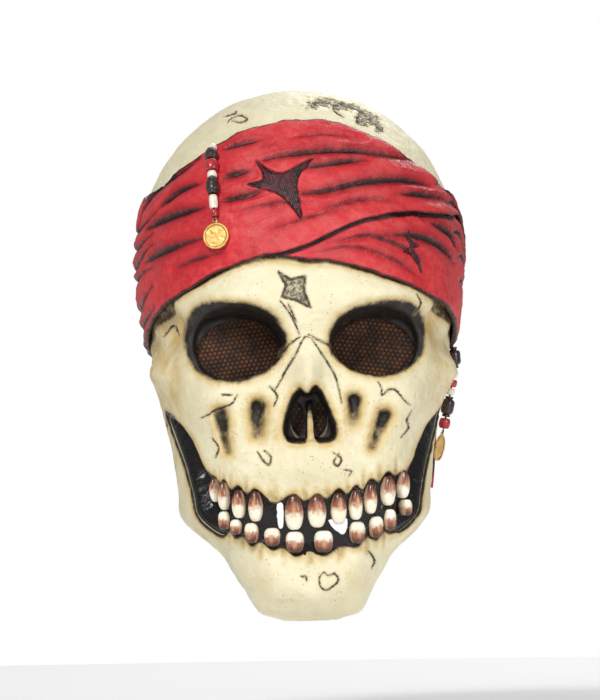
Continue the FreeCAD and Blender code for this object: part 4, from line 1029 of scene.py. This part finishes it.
def bone_marks(p, normals, edge):
    """The painted marks of the bone at each point: ochre, shade, crack distance and chip distance."""
    count = len(p)
    flat = p[:, [0, 2]]
    facing = (normals[:, 1] < 0.25) & (p[:, 1] < -20)
    ochre, shade = np.zeros(count), np.zeros(count)
    crack, chip = np.full(count, 9.0), np.full(count, 9.0)
    for outline, fade, start in ((SOCKET_RIGHT, 4.2, -112), (SOCKET_LEFT, 3.4, -112), (NOSE, 1.6, -118)):
        d = outline_distance(flat[facing], curve(outline, 6, True))
        inner = step_between(fade, -2.0, d) * (p[facing, 1] < -60)
        shade[facing] = np.maximum(shade[facing], inner)
        ochre[facing] = np.maximum(ochre[facing], 0.5 * step_between(fade + 5, 0, d))
    inside_wall = facing & (np.abs(p[:, 0] - 1.4) < 3.4) & (p[:, 2] < 137) & (p[:, 2] > 113) & (p[:, 1] < -97)
    shade[inside_wall] *= 1 - 0.8 * step_between(-98, -106, p[inside_wall, 1])
    deep, halo, _ = groove_distance(flat[facing])
    front = step_between(-70, -85, p[facing, 1])
    shade[facing] = np.maximum(shade[facing], 1.0 * deep ** 1.15 * front)
    ochre[facing] = np.maximum(ochre[facing], np.maximum(0.5 * halo, 1.1 * deep) * front)
    mouth = step_between(2.6, 0.2, edge) * step_between(20, -10, p[:, 1])
    shade = np.maximum(shade, 0.9 * mouth)
    ochre = np.maximum(ochre, 0.55 * step_between(9, 0.5, edge) * step_between(20, -10, p[:, 1]))
    # Brown streaks and painted shade between the roots of the teeth.
    rows = ((UPPER_TEETH, upper_edge_at, 1, 15), (LOWER_TEETH, lower_edge_at, -1, 13))
    for teeth, edge_at, way, reach in rows:
        rise = (p[:, 2] - edge_at(p[:, 0])) * way
        between = scallop(p[:, 0], teeth) ** 2 * (rise > -6) * (np.abs(p[:, 0]) < 58) * (p[:, 1] < -70)
        fade = step_between(reach, 1, rise + 5 * noise(p, 6, 2))
        ochre = np.maximum(ochre, 0.55 * between * fade)
        shade = np.maximum(shade, 0.35 * between * step_between(reach * 0.5, 0, rise + 3 * noise(p, 4, 7)))
    # Painted shadow on the bone under the bandana's lower edge, and painted shade along its upper edge, in
    # shade and in ochre.
    under = band_low(p) - p[:, 2]
    shade = np.maximum(shade, 0.62 * step_between(3.0, 0.6, under) * (under > -6) * (p[:, 2] < 260))
    over = p[:, 2] - band_top(p)
    shade = np.maximum(shade, 0.5 * step_between(2.2, 0.4, over) * (over > -5) * (p[:, 2] > 235))
    ochre = np.maximum(ochre, 0.5 * step_between(9, 1, under) * (under > -6) * (p[:, 2] < 260))
    # Brown airbrush and painted shade in the side hollows.
    ochre = np.maximum(ochre, bump(p[:, 1], p[:, 2], SIDE_STAINS_AND_SHADE) * step_between(45, 66, np.abs(p[:, 0])))
    rim = step_between(66, 92, np.abs(p[:, 0])) * (0.34 + 0.3 * noise(p, 14, 15)) * (p[:, 2] < 235)
    ochre = np.maximum(ochre, rim)
    pale = bump(np.abs(p[:, 0]), p[:, 2], ((20, 122, 8, 16, 0.35), (30, 26, 10, 10, 0.25)))
    ochre = np.maximum(ochre, pale * (p[:, 1] < -60))
    near = np.where(facing)[0]
    lines = [curve(line, 4) for line in LINES]
    d, _, t, _ = line_distance(flat[near], lines)
    crack[near] = d - 0.10 - 0.42 * np.sin(np.pi * np.clip(t, 0.04, 0.96)) ** 0.6
    far = np.where(~facing)[0]
    d, _, t, _ = line_distance(p[far], side_lines)
    crack[far] = np.minimum(crack[far], d - 0.05 - 0.42 * np.sin(np.pi * np.clip(t, 0.04, 0.96)))
    crown = p[:, 2] > 308
    patch = np.full(count, 9.0)
    for x, h, a, b in PATCH:
        patch = np.minimum(patch, (np.hypot((p[:, 0] - x) / a, (p[:, 2] - h) / b) - 1) * b)
    patch = patch + 2.2 * noise(p, 3.2, 12) + 1.4 * noise(p, 1.6, 13) + 0.3 * np.maximum(p[:, 1] + 26, 0)
    chip = np.where(crown, patch * 0.6, chip)
    crack = np.where(crown, np.minimum(crack, np.abs(patch) * 0.8 - 0.15), crack)
    top = facing & (p[:, 2] > 195) & (p[:, 2] < 230)
    chip[top] = outline_distance(flat[top], np.array(CHIP, float))
    crack[top] = np.minimum(crack[top], np.abs(chip[top]) - 0.6)
    crack = np.minimum(crack + 0.2 * noise(p, 2.0, 3), 9)
    return ochre, shade, crack, chip


def bone_piece(name, node, body, value, holes):
    points, faces, edge = clip(bone_points, bone_faces, value, (value,))
    for hole in holes:
        points, faces, edge = clip(points, faces, hole(points), (edge,))
    for reach in (2.4, 1.6):
        crack = bone_marks(points, normals_of(points, faces), edge)[2]
        near = (crack[faces] < reach).any(1)
        points, faces, edge = refine(points, faces, near, edge)
    normals = normals_of(points, faces)
    ochre, shade, crack, chip = bone_marks(points, normals, edge)
    sunk = 0.75 * step_between(0.9, -0.3, crack) + 0.5 * step_between(0.2, -0.9, chip)
    lumps = (0.75 * noise(points, 26, 1) + 0.42 * noise(points, 10, 2) + 0.22 * noise(points, 4.2, 4))
    pits = np.maximum(noise(points, 3.4, 6) - 0.42, 0) * 1.5
    covered = step_between(-2, 3, points[:, 2] - band_low(points)) * step_between(2, -3, points[:, 2]
                                                                                 - band_top(points))
    rolled = 0.7 * step_between(1.6, 0.0, edge)
    moved = points + normals * ((lumps * 0.9 - pits - sunk) * (1 - covered) - rolled - 0.5 * covered)[:, None]
    inner = points - normals * (SKIN + rolled)[:, None]
    allp, allf = shell(moved, faces, inner)
    twice = {key: np.concatenate([v, v]) for key, v in
             (("ochre", ochre), ("shade", shade), ("crack", crack), ("chip", chip))}
    twice["inner"] = np.concatenate([np.zeros(len(points)), np.ones(len(points))])
    return add_mesh(name, allp, allf, BONE, twice, body, (node,))


def ellipse_value(p, x, height, a, b, level_low, level_high, lean=0.0):
    """Below 0 inside an upright elliptical hole, between two levels of y."""
    c, s = math.cos(math.radians(lean)), math.sin(math.radians(lean))
    u, w = p[:, 0] - x, p[:, 2] - height
    u, w = u * c + w * s, -u * s + w * c
    ring = (np.sqrt((u / a) ** 2 + (w / b) ** 2) - 1) * min(a, b)
    return np.where((p[:, 1] > level_low) & (p[:, 1] < level_high), ring, 5.0)


eye_holes = [lambda p, s=s: ellipse_value(p, s * 43.6, 174.6, 26.2, 19.2, -80, -70, -7 * s) for s in (-1, 1)]
nostrils = [lambda p, x=x: ellipse_value(p, x, 129, 4.4, 11.5, -99, -90) for x in (-6.9, 8.6)]
bone_piece("skull_bone", "skull_skin", "skull", keep_skull(bone_points), eye_holes + nostrils)
bone_piece("jaw_bone", "jaw_skin", "jaw", keep_jaw(bone_points), [])

# ---------------------------------------------------------------- lining behind the mouth
angles = np.linspace(170, 370, 420)
heights = np.linspace(32, 143, 170)
A, Hh = np.meshgrid(angles, heights)
lining, lining_n = on_head(A.ravel(), Hh.ravel(), np.full(A.size, -2.2))
faces = halves(grid_faces(len(heights), len(angles)))
above = keep_skull(lining)
below = keep_jaw(lining)
rear_of_jaw = table(((22, -57), (46, -31), (66, -8), (85, 5), (106, 11), (121, 10)))
value = np.minimum(np.minimum(7 - above, 7 - below), rear_of_jaw(lining[:, 2]) - 2 - lining[:, 1])
gap_left = outline_distance(lining[:, [0, 2]], curve(((-21.5, 75), (-17.6, 75.5), (-17.2, 66), (-18, 60),
                                                      (-21, 61)), 4, True))
gap_right = outline_distance(lining[:, [0, 2]], curve(((11.5, 64.5), (17, 65), (23.5, 65.5), (23.8, 59),
                                                       (21, 55), (15, 59)), 4, True))
in_front = lining[:, 1] < -70
value = np.where(in_front, np.minimum(value, np.minimum(gap_left, gap_right)), value)
hollow = np.minimum(np.maximum(-above, 0), np.maximum(-below, 0))
recess = 8.5 * step_between(2, 11, hollow) * step_between(52, 70, np.abs(lining[:, 0]))
ridges = 0.9 * noise(lining * np.array([1, 1, 0.35]), 5.0, 2) + 0.5 * noise(lining, 2.6, 8)
lining = lining + lining_n * (np.clip(ridges, -1.2, 0.1) * step_between(-1.0, -4.0, np.maximum(above, below))
                              - recess)[:, None]
lining, faces = clip(lining, faces, value)
n = normals_of(lining, faces)
allp, allf = shell(lining, faces, lining - n * 1.4)
piece = add_mesh("mouth_lining_skin", allp, allf, BLACK, None, None, ("mouth_lining",))
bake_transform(piece)


# ---------------------------------------------------------------- teeth
def tooth(x, height, half_width, half_height, upper):
    v_steps, u_steps = 20, 28
    lat = np.linspace(-np.pi / 2, np.pi / 2, v_steps)
    lon = np.linspace(0, 2 * np.pi, u_steps, endpoint=False)
    V, U = np.meshgrid(lat, lon, indexing="ij")

    def rounded(value, p):
        return np.sign(value) * np.abs(value) ** p

    v = rounded(np.sin(V), 0.82)
    c = np.abs(np.cos(V)) ** (0.62 if upper else 0.55)
    u = c * rounded(np.cos(U), 0.78)
    w = c * rounded(np.sin(U), 0.9)
    if upper:
        width = 0.90 - 0.36 * np.clip(v, 0, 1) ** 1.2 - 0.05 * np.clip(-v, 0, 1)
        out = 1.0 + 0.12 * np.exp(-((v - 0.1) / 0.5) ** 2)
    else:
        width = 0.87 + 0.06 * v - 0.05 * np.abs(v) ** 3
        out = np.ones_like(v)
    middle, normal = on_face(x, height, -1.5)
    turn = math.atan2(normal[0], -normal[1])
    cx, sx = math.cos(turn), math.sin(turn)
    a = u * width * half_width
    b = w * out * 4.8
    tall = v * half_height
    points = np.stack([middle[0] + a * cx + b * sx * -1, middle[1] + a * sx + b * cx,
                       height + tall + 0 * a], -1).reshape(-1, 3)
    points += 0.22 * noise(points, 3.5, x)[:, None] * np.array([sx, -cx, 0.3])
    root = (v if upper else -v) * 0.5 + 0.5
    return points, grid_faces(v_steps, u_steps, True), root.ravel(), (u / np.maximum(c, 0.05)).ravel()


def tooth_row(name, node, body, teeth, upper):
    points, faces, root, across, gum_shade, count = [], [], [], [], [], 0
    for values in teeth:
        p, f, r, a = tooth(*values, upper)
        points.append(p)
        faces.append(f + count)
        root.append(r)
        across.append(a)
        # Painted shade at the root's end, where it sinks into the gum.
        gum_shade.append(step_between(0.90, 1.0, r))
        count += len(p)
    return add_mesh(name, np.vstack(points), np.vstack(faces), TOOTH,
                    {"root": np.concatenate(root), "across": np.concatenate(across),
                     "gum_shade": np.concatenate(gum_shade)}, body, (node,))


tooth_row("teeth_upper_row", "upper_teeth", "skull", UPPER_TEETH, True)
tooth_row("teeth_lower_row", "lower_teeth", "jaw", LOWER_TEETH, False)


# ---------------------------------------------------------------- mesh in the eyes and the nose
def mesh_panel(name, node, x, height, a, b, level, lean):
    step = 0.5
    us, ws = np.arange(-a - 1, a + 1.01, step), np.arange(-b - 1, b + 1.01, step)
    U, W = np.meshgrid(us, ws)
    U, W = U.ravel(), W.ravel()
    pitch, row = 3.0, 2.6
    line = np.round(W / row)
    shifted = U - (line % 2) * pitch / 2
    dot = np.hypot(shifted - np.round(shifted / pitch) * pitch, W - line * row)
    c, s = math.cos(math.radians(lean)), math.sin(math.radians(lean))
    ring = (1 - np.sqrt((U / a) ** 2 + (W / b) ** 2)) * min(a, b)
    flat = np.stack([x + U * c - W * s, np.full(len(U), level), height + U * s + W * c], 1)
    flat[:, 1] += 0.55 * step_between(1.3, 0.7, dot) - 0.1 * noise(flat, 2, 4)
    faces = halves(grid_faces(len(ws), len(us)))
    flat, faces, dot, ring = clip(flat, faces, ring, (dot, ring))
    back = flat.copy()
    back[:, 1] = level + 1.0
    allp, allf = shell(flat, faces, back)
    # The rim mark is painted shade towards the panel's edge.
    return add_mesh(name, allp, allf, MESH, {"dot": np.concatenate([dot, dot]),
                                             "rim": np.tile(step_between(3.5, 0.5, ring) * 0.8, 2)},
                    "skull", (node,))


mesh_panel("eye_mesh_right_panel", "eye_mesh_right", -43.6, 174.6, 28.2, 21.2, -74.0, 7)
mesh_panel("eye_mesh_left_panel", "eye_mesh_left", 43.6, 174.6, 28.2, 21.2, -74.0, -7)
mesh_panel("nose_mesh_panel", "nose_mesh", 0.8, 131, 12.2, 15.2, -94.2, 0)

# ---------------------------------------------------------------- bandana
# Folds of the front as x and height, with the depth and the reach of each.
# Creases of the front: line as X and height, depth and strength of the black wash and painted shade.
FRONT_FOLDS = (
    (((-28.9, 294.4), (-13.4, 298), (14.3, 300.7), (28.5, 300.5), (56, 297.4), (71.5, 294)), 2.4, 1.0),
    (((-50, 302.5), (-38, 306), (-27.4, 308)), 1.6, 0.8),
    (((-50, 284.5), (-40, 287.5), (-33.5, 289.3)), 2.0, 0.9),
    (((-5.2, 290), (7, 291.2), (24, 293.6), (40.6, 294.5)), 2.0, 0.9),
    (((-52, 270), (-42, 272), (-33.7, 274), (-25.3, 277.6)), 2.2, 0.9),
    (((-5.4, 274), (13.9, 275.6), (33.3, 279.8), (47.4, 281.5), (65.4, 281.2), (80.8, 277.7)), 2.8, 1.1),
    (((60, 273), (75, 272), (92, 268)), 2.0, 0.9),
    (((-101, 256), (-97, 268.5), (-83.7, 283), (-74, 290), (-64.8, 297)), 2.6, 1.0),
    (((-89, 266.5), (-82, 272.5), (-75.5, 277), (-63.8, 281.5)), 2.0, 0.9),
    (((-97.5, 252.5), (-86.7, 258.7), (-75, 263), (-62.8, 266)), 2.8, 1.1),
    (((-99, 232), (-92, 236.5), (-84.5, 240), (-64.4, 246.8)), 2.2, 1.0),
    (((81.7, 254), (88, 251), (94.4, 245.3), (98.5, 238)), 2.4, 1.0),
    (((52.6, 247.3), (71.9, 245.7), (85.9, 239.6), (95.4, 229.8)), 2.4, 1.0),
    (((-44, 262), (-28, 266.5), (-12, 268.5), (4, 268)), 1.0, 0.45),
    (((10, 263), (34, 269.5), (58, 269)), 1.2, 0.5),
    (((-20, 252), (4, 259), (24, 264.5)), 1.0, 0.4),
    (((18, 243), (40, 247), (60, 240), (76, 229)), 1.4, 0.6),
    (((4, 236.5), (30, 240), (56, 231), (74, 218)), 1.0, 0.45),
    (((-80, 228), (-66, 234), (-52, 238)), 1.0, 0.5),
    (((-10, 309), (12, 311.5), (34, 309)), 1.0, 0.4))
STAR = ((-30, 296), (-22, 289), (-14, 287), (-6, 290.5), (7.2, 296), (-1.5, 287), (-4.5, 279), (-3, 268),
        (-2.5, 257.5), (-9, 266), (-15, 272), (-24, 276.5), (-36, 280), (-25.5, 283.5))
TEAR = ((65.5, 250), (67.8, 243.5), (72, 240), (68.3, 238), (71, 233), (73.2, 229), (72.8, 221.5),
        (69.5, 229), (66.6, 234), (61.5, 236.5), (65.6, 239.2), (64.2, 244))


def band_folds():
    folds = [(on_face(*np.array(line, float).T, 2.0)[0], depth, paint) for line, depth, paint in FRONT_FOLDS]
    # Round the wearer's right side and the back, the folds run on and gather at the knot.
    for share, wave, depth in ((0.14, 1.0, 2.0), (0.3, 2.1, 2.8), (0.46, 0.4, 2.4), (0.6, 3.0, 3.0),
                               (0.74, 1.7, 2.2), (0.88, 2.6, 1.8)):
        line = []
        for angle in np.linspace(205, 44, 24):
            middle = raw_head(np.radians(angle), np.array(220.0))[None]
            low, top = BAND_LOW(middle[:, 1])[0], BAND_REAR_TOP(middle[:, 1])[0]
            top = min(top, ARCH_TOP - ARCH_DROP * middle[0, 0] ** 2)
            gather = step_between(95, 44, angle)
            height = low + share * (top - low) + 4 * math.sin(wave + angle / 21)
            height = height * (1 - 0.85 * gather) + (168 + 22 * (share - 0.5)) * 0.85 * gather
            line.append(on_head(angle, height, 2.0)[0])
        folds.append((np.array(line), depth, 1.0))
    for start, reach in ((278, -28), (266, -22), (247, -24), (232, -20), (216, -16)):
        line = []
        for t in np.linspace(0, 1, 14):
            angle = reach + (30 - reach) * t
            end = 171 + 0.16 * (start - 240)
            height = start + (end - start) * step_between(0.1, 1.0, t) + 3 * math.sin(5 * t)
            line.append(on_head(angle, height, 2.0)[0])
        folds.append((np.array(line), 2.2, 1.0))
    return folds


FOLDS = band_folds()
FOLD_LINES = [curve(line, 4) for line, _, _ in FOLDS]
FOLD_DEPTH = np.array([depth for _, depth, _ in FOLDS])
FOLD_PAINT = np.array([paint for _, _, paint in FOLDS])


def under_value(p):
    """Above 0 where the cloth lies under the crossing edge."""
    value = np.minimum(CROSSING(p[:, 0]) - p[:, 2], CROSSING_REAR(p[:, 1]) - p[:, 2])
    return np.minimum(value, (p[:, 0] + 26) * 0.8)


def cloth(name, node, lower_layer):
    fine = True
    angles = np.linspace(0, 360, 760 if fine else 380, endpoint=False)
    rises = np.concatenate([np.arange(128, 230, 0.9 if fine else 1.8),
                            230 + 112 * np.sin(np.linspace(0, 1.02, 112 if fine else 56))])
    A, Hg = np.meshgrid(angles, rises)
    base, normal = on_head(A.ravel(), Hg.ravel(), np.zeros(A.size))
    faces = halves(grid_faces(len(rises), len(angles), True))
    top, low = band_top(base) - base[:, 2], base[:, 2] - band_low(base)
    ragged = 0.8 * noise(base, 14, 2) + 0.35 * noise(base, 4, 3)
    band = np.minimum(top, low) + ragged
    under = under_value(base) + 0.7 * noise(base, 12, 6)
    value = np.minimum(band, under + 5.0 if lower_layer else -under)
    base, faces, normal, band, under = clip(base, faces, value, (normal, band, under))
    normal /= np.linalg.norm(normal, axis=1, keepdims=True)
    distance, which, along, nearest = line_distance(base + normal * 2.0, FOLD_LINES, 0.9)
    depth, paint = FOLD_DEPTH[which], FOLD_PAINT[which]
    ends = np.sin(np.pi * np.clip(along, 0.03, 0.97)) ** 0.45
    above = np.sign(base[:, 2] - nearest[:, 2] + 1e-6)
    valley = np.exp(-distance / 2.4)
    swell = 1 - np.exp(-distance / 5.0)
    off = CLOTH + 0.2 + (1.5 * swell - depth * valley) * ends + 0.9 * above * ends * np.exp(-distance / 6)
    drape = noise(base * np.array([0.45, 0.45, 1.35]), 7.5, 5)
    off += 0.55 * drape + 0.28 * noise(base, 3.6, 9) + 0.8 * noise(base, 24, 7)
    flat = base[:, [0, 2]]
    tear = np.zeros(len(base))
    front = base[:, 1] < -40
    for outline, deep in ((STAR, 2.9), (TEAR, 2.0)):
        d = outline_distance(flat[front], curve(outline, 3, True))
        off[front] += 0.9 * np.exp(-(np.maximum(d, 0) / 3.0) ** 2) * (d > 0)
        crumple = 0.9 * noise(base[front] * np.array([1.0, 1, 0.6]), 4.0, 4)
        inside = step_between(0.5, -1.1, d)
        off[front] = off[front] * (1 - inside) + np.clip(CLOTH - deep + crumple + 0.4, 0.25, 9) * inside
        tear[front] = np.maximum(tear[front], step_between(0.6, -0.4, d))
    if lower_layer:
        off -= 1.9 * step_between(9, 1, under)
    else:
        near_edge = step_between(8, 0.5, -under)
        off += 1.5 * near_edge
    off -= 1.3 * np.exp(-np.maximum(band, 0) / 1.1)
    off = np.clip(off, 0.75, 6.0)
    # Black wash and painted shade in the creases, along the cut edges and under the crossing edge.
    wash_and_shade = np.exp(-(distance / 1.75) ** 1.5) * ends * paint
    wash_and_shade = np.maximum(wash_and_shade, 0.5 * np.exp(-distance / 4.5) * ends * paint)
    wash_and_shade = np.maximum(wash_and_shade, 0.75 * step_between(2.4, 0.1, band))
    if lower_layer:
        wash_and_shade = np.maximum(wash_and_shade, step_between(3.6, 0.6, under))
    else:
        wash_and_shade = np.maximum(wash_and_shade, 0.45 * step_between(1.4, 0.0, -under))
    ridge = step_between(2.0, 7.0, distance) * (1 - step_between(0, 0.4, wash_and_shade))
    weave = step_between(70, 45, np.abs(base[:, 0] - 12)) * (base[:, 1] < -20) * 0.85 + 0.15
    outer = base + normal * off[:, None]
    inner = base + normal * np.minimum(0.15, off - 0.5)[:, None]
    if not lower_layer:
        lap = np.clip(off - 1.2, 0.15, 2.2) * step_between(9, 4, -under) * (base[:, 0] > -26)
        inner = base + normal * np.maximum(0.15, lap)[:, None]
    allp, allf = shell(outer, faces, inner)
    marks = {"wash_and_shade": np.tile(wash_and_shade, 2), "tear": np.tile(tear, 2), "ridge": np.tile(ridge, 2),
             "weave": np.tile(weave, 2)}
    return add_mesh(name, allp, allf, RED, marks, "skull", (node,))


cloth("bandana_wrap_cloth", "bandana_wrap", False)
cloth("bandana_under_fold_cloth", "bandana_under_fold", True)


def knot():
    """A pulled knot: a round lump, with a band over its middle and folds that run into it."""
    rows, columns = 64, 96
    V, U = np.meshgrid(np.linspace(-np.pi / 2, np.pi / 2, rows),
                       np.linspace(0, 2 * np.pi, columns, endpoint=False), indexing="ij")
    unit = np.stack([np.cos(V) * np.cos(U), np.sin(V), np.cos(V) * np.sin(U)], -1).reshape(-1, 3)
    band = step_between(0.42, 0.28, np.abs(unit[:, 1] + 0.15 * unit[:, 2]))
    folds = np.abs(np.sin(3.1 * np.arctan2(unit[:, 2], unit[:, 0]) + 1.2 * unit[:, 1] * 2))
    size = 0.86 + 0.13 * band + 0.10 * folds * (1 - band) + 0.035 * noise(unit * 30, 9, 2)
    crossed = np.abs(np.sin(9 * (unit[:, 1] + 0.5 * unit[:, 2])))
    size += 0.035 * crossed * band
    points = unit * size[:, None] * np.array(KNOT_SIZE) * 0.98 + np.array(KNOT)
    points[:, 2] = np.maximum(points[:, 2], 160.1 + 0.15 * (points[:, 2] - 160.1))
    # Black wash and painted shade in the folds, along the band's edges and in its cross lines.
    wash_and_shade = np.maximum(step_between(0.35, 0.0, folds) * (1 - band),
                      np.exp(-((np.abs(unit[:, 1] + 0.15 * unit[:, 2]) - 0.35) / 0.05) ** 2))
    wash_and_shade = np.maximum(wash_and_shade, 0.7 * step_between(0.2, 0.0, crossed) * band)
    zero = np.zeros(len(points))
    return add_mesh("bandana_knot_lump", points, grid_faces(rows, columns, True)[:, ::-1], RED,
                    {"wash_and_shade": wash_and_shade, "tear": zero, "ridge": 1 - wash_and_shade, "weave": zero + 0.2}, "skull",
                    ("bandana_knot",))


knot()


def tail(name, node, middle_y, bottom, half_width, out, seed):
    """A flap with long folds, a ragged lower edge, and gathered at its top."""
    rows, columns = 90, 34
    V, U = np.meshgrid(np.linspace(0, 1, rows), np.linspace(-1, 1, columns), indexing="ij")
    v, u = V.ravel(), U.ravel()
    spread = 0.55 + 0.45 * step_between(0, 0.35, v)
    height = TAIL_TOP + (bottom - 1 - TAIL_TOP) * v
    x = KNOT[0] + out + 0.6 * np.sin(v * 2.2) - TAIL_LEAN * v ** 1.6
    wave = 0.55 * np.sin(u * 4.2 + seed + 1.5 * v) * step_between(0, 0.3, v) + 0.35 * np.sin(u * 8 + seed)
    points = np.stack([x + 1.6 + 0.6 * wave, middle_y + half_width * 0.96 * u * spread, height], 1)
    faces = halves(grid_faces(rows, columns))
    ragged = 0.10 * np.abs(np.sin(u * 2.6 + seed)) + 0.05 * np.abs(np.sin(u * 9 + seed * 2)) + 0.02
    sides = 1 - np.abs(u) - 0.05 * np.abs(np.sin(v * 17 + seed)) - 0.01
    points, faces, wave = clip(points, faces, np.minimum((1 - ragged - v) * 10, sides * 10), (wave,))
    n = normals_of(points, faces)
    if n[:, 0].mean() < 0:
        faces, n = faces[:, ::-1], -n
    allp, allf = shell(points, faces, points - n * 1.5)
    # Black wash and painted shade in the troughs of the folds.
    wash_and_shade = np.tile(step_between(-0.2, -0.8, wave), 2)
    made = add_mesh(name, allp, allf, RED, {"wash_and_shade": wash_and_shade, "tear": 0 * wash_and_shade, "ridge": 1 - wash_and_shade,
                                            "weave": 0 * wash_and_shade + 0.4}, None, (node,))
    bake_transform(made)
    return made


tail("bandana_tail_long_flap", "bandana_tail_long", 59.5, 80, 10.0, 2.4, 0.4)
tail("bandana_tail_short_flap", "bandana_tail_short", 80.0, 101, 9.5, 0.6, 2.1)

# ---------------------------------------------------------------- stage and light
floor_mesh = bpy.data.meshes.new("floor")
ring = [(1.5 * math.cos(a), 1.5 * math.sin(a), (-62 - ORIGIN) / 1000)
        for a in np.linspace(0, 2 * math.pi, 64, endpoint=False)]
floor_mesh.from_pydata(ring, [], [tuple(range(64))])
floor = bpy.data.objects.new("floor", floor_mesh)
scene.collection.objects.link(floor)
pale = Nodes("floor", Roughness=0.9)
floor_mesh.materials.append(pale.finish(pale.mix(pale.noise(400, 2), (0.95, 0.95, 0.95), (0.97, 0.97, 0.97))))

world = bpy.data.worlds.new("studio")
scene.world = world
world.use_nodes = True
tree = world.node_tree
lit = tree.nodes["Background"]
lit.inputs[0].default_value = (1, 1, 1, 1)
lit.inputs[1].default_value = 0.34
seen = tree.nodes.new("ShaderNodeBackground")
seen.inputs[1].default_value = 1.0
seen.inputs[0].default_value = (1, 1, 1, 1)
path = tree.nodes.new("ShaderNodeLightPath")
both = tree.nodes.new("ShaderNodeMixShader")
tree.links.new(path.outputs["Is Camera Ray"], both.inputs[0])
tree.links.new(lit.outputs[0], both.inputs[1])
tree.links.new(seen.outputs[0], both.inputs[2])
tree.links.new(both.outputs[0], tree.nodes["World Output"].inputs["Surface"])


def area_light(name, place, size, power):
    data = bpy.data.lights.new(name, "AREA")
    data.shape = "DISK"
    data.size = size
    data.energy = power
    made = bpy.data.objects.new(name, data)
    made.location = place
    made.rotation_euler = (Vector((0, 0, -0.17)) - Vector(place)).to_track_quat("-Z", "Y").to_euler()
    scene.collection.objects.link(made)


area_light("key", (-0.8, -1.7, 1.35), 0.7, 36)
area_light("fill", (1.3, -1.7, 0.25), 1.0, 15)
area_light("back", (0.5, 1.8, 1.2), 1.2, 20)
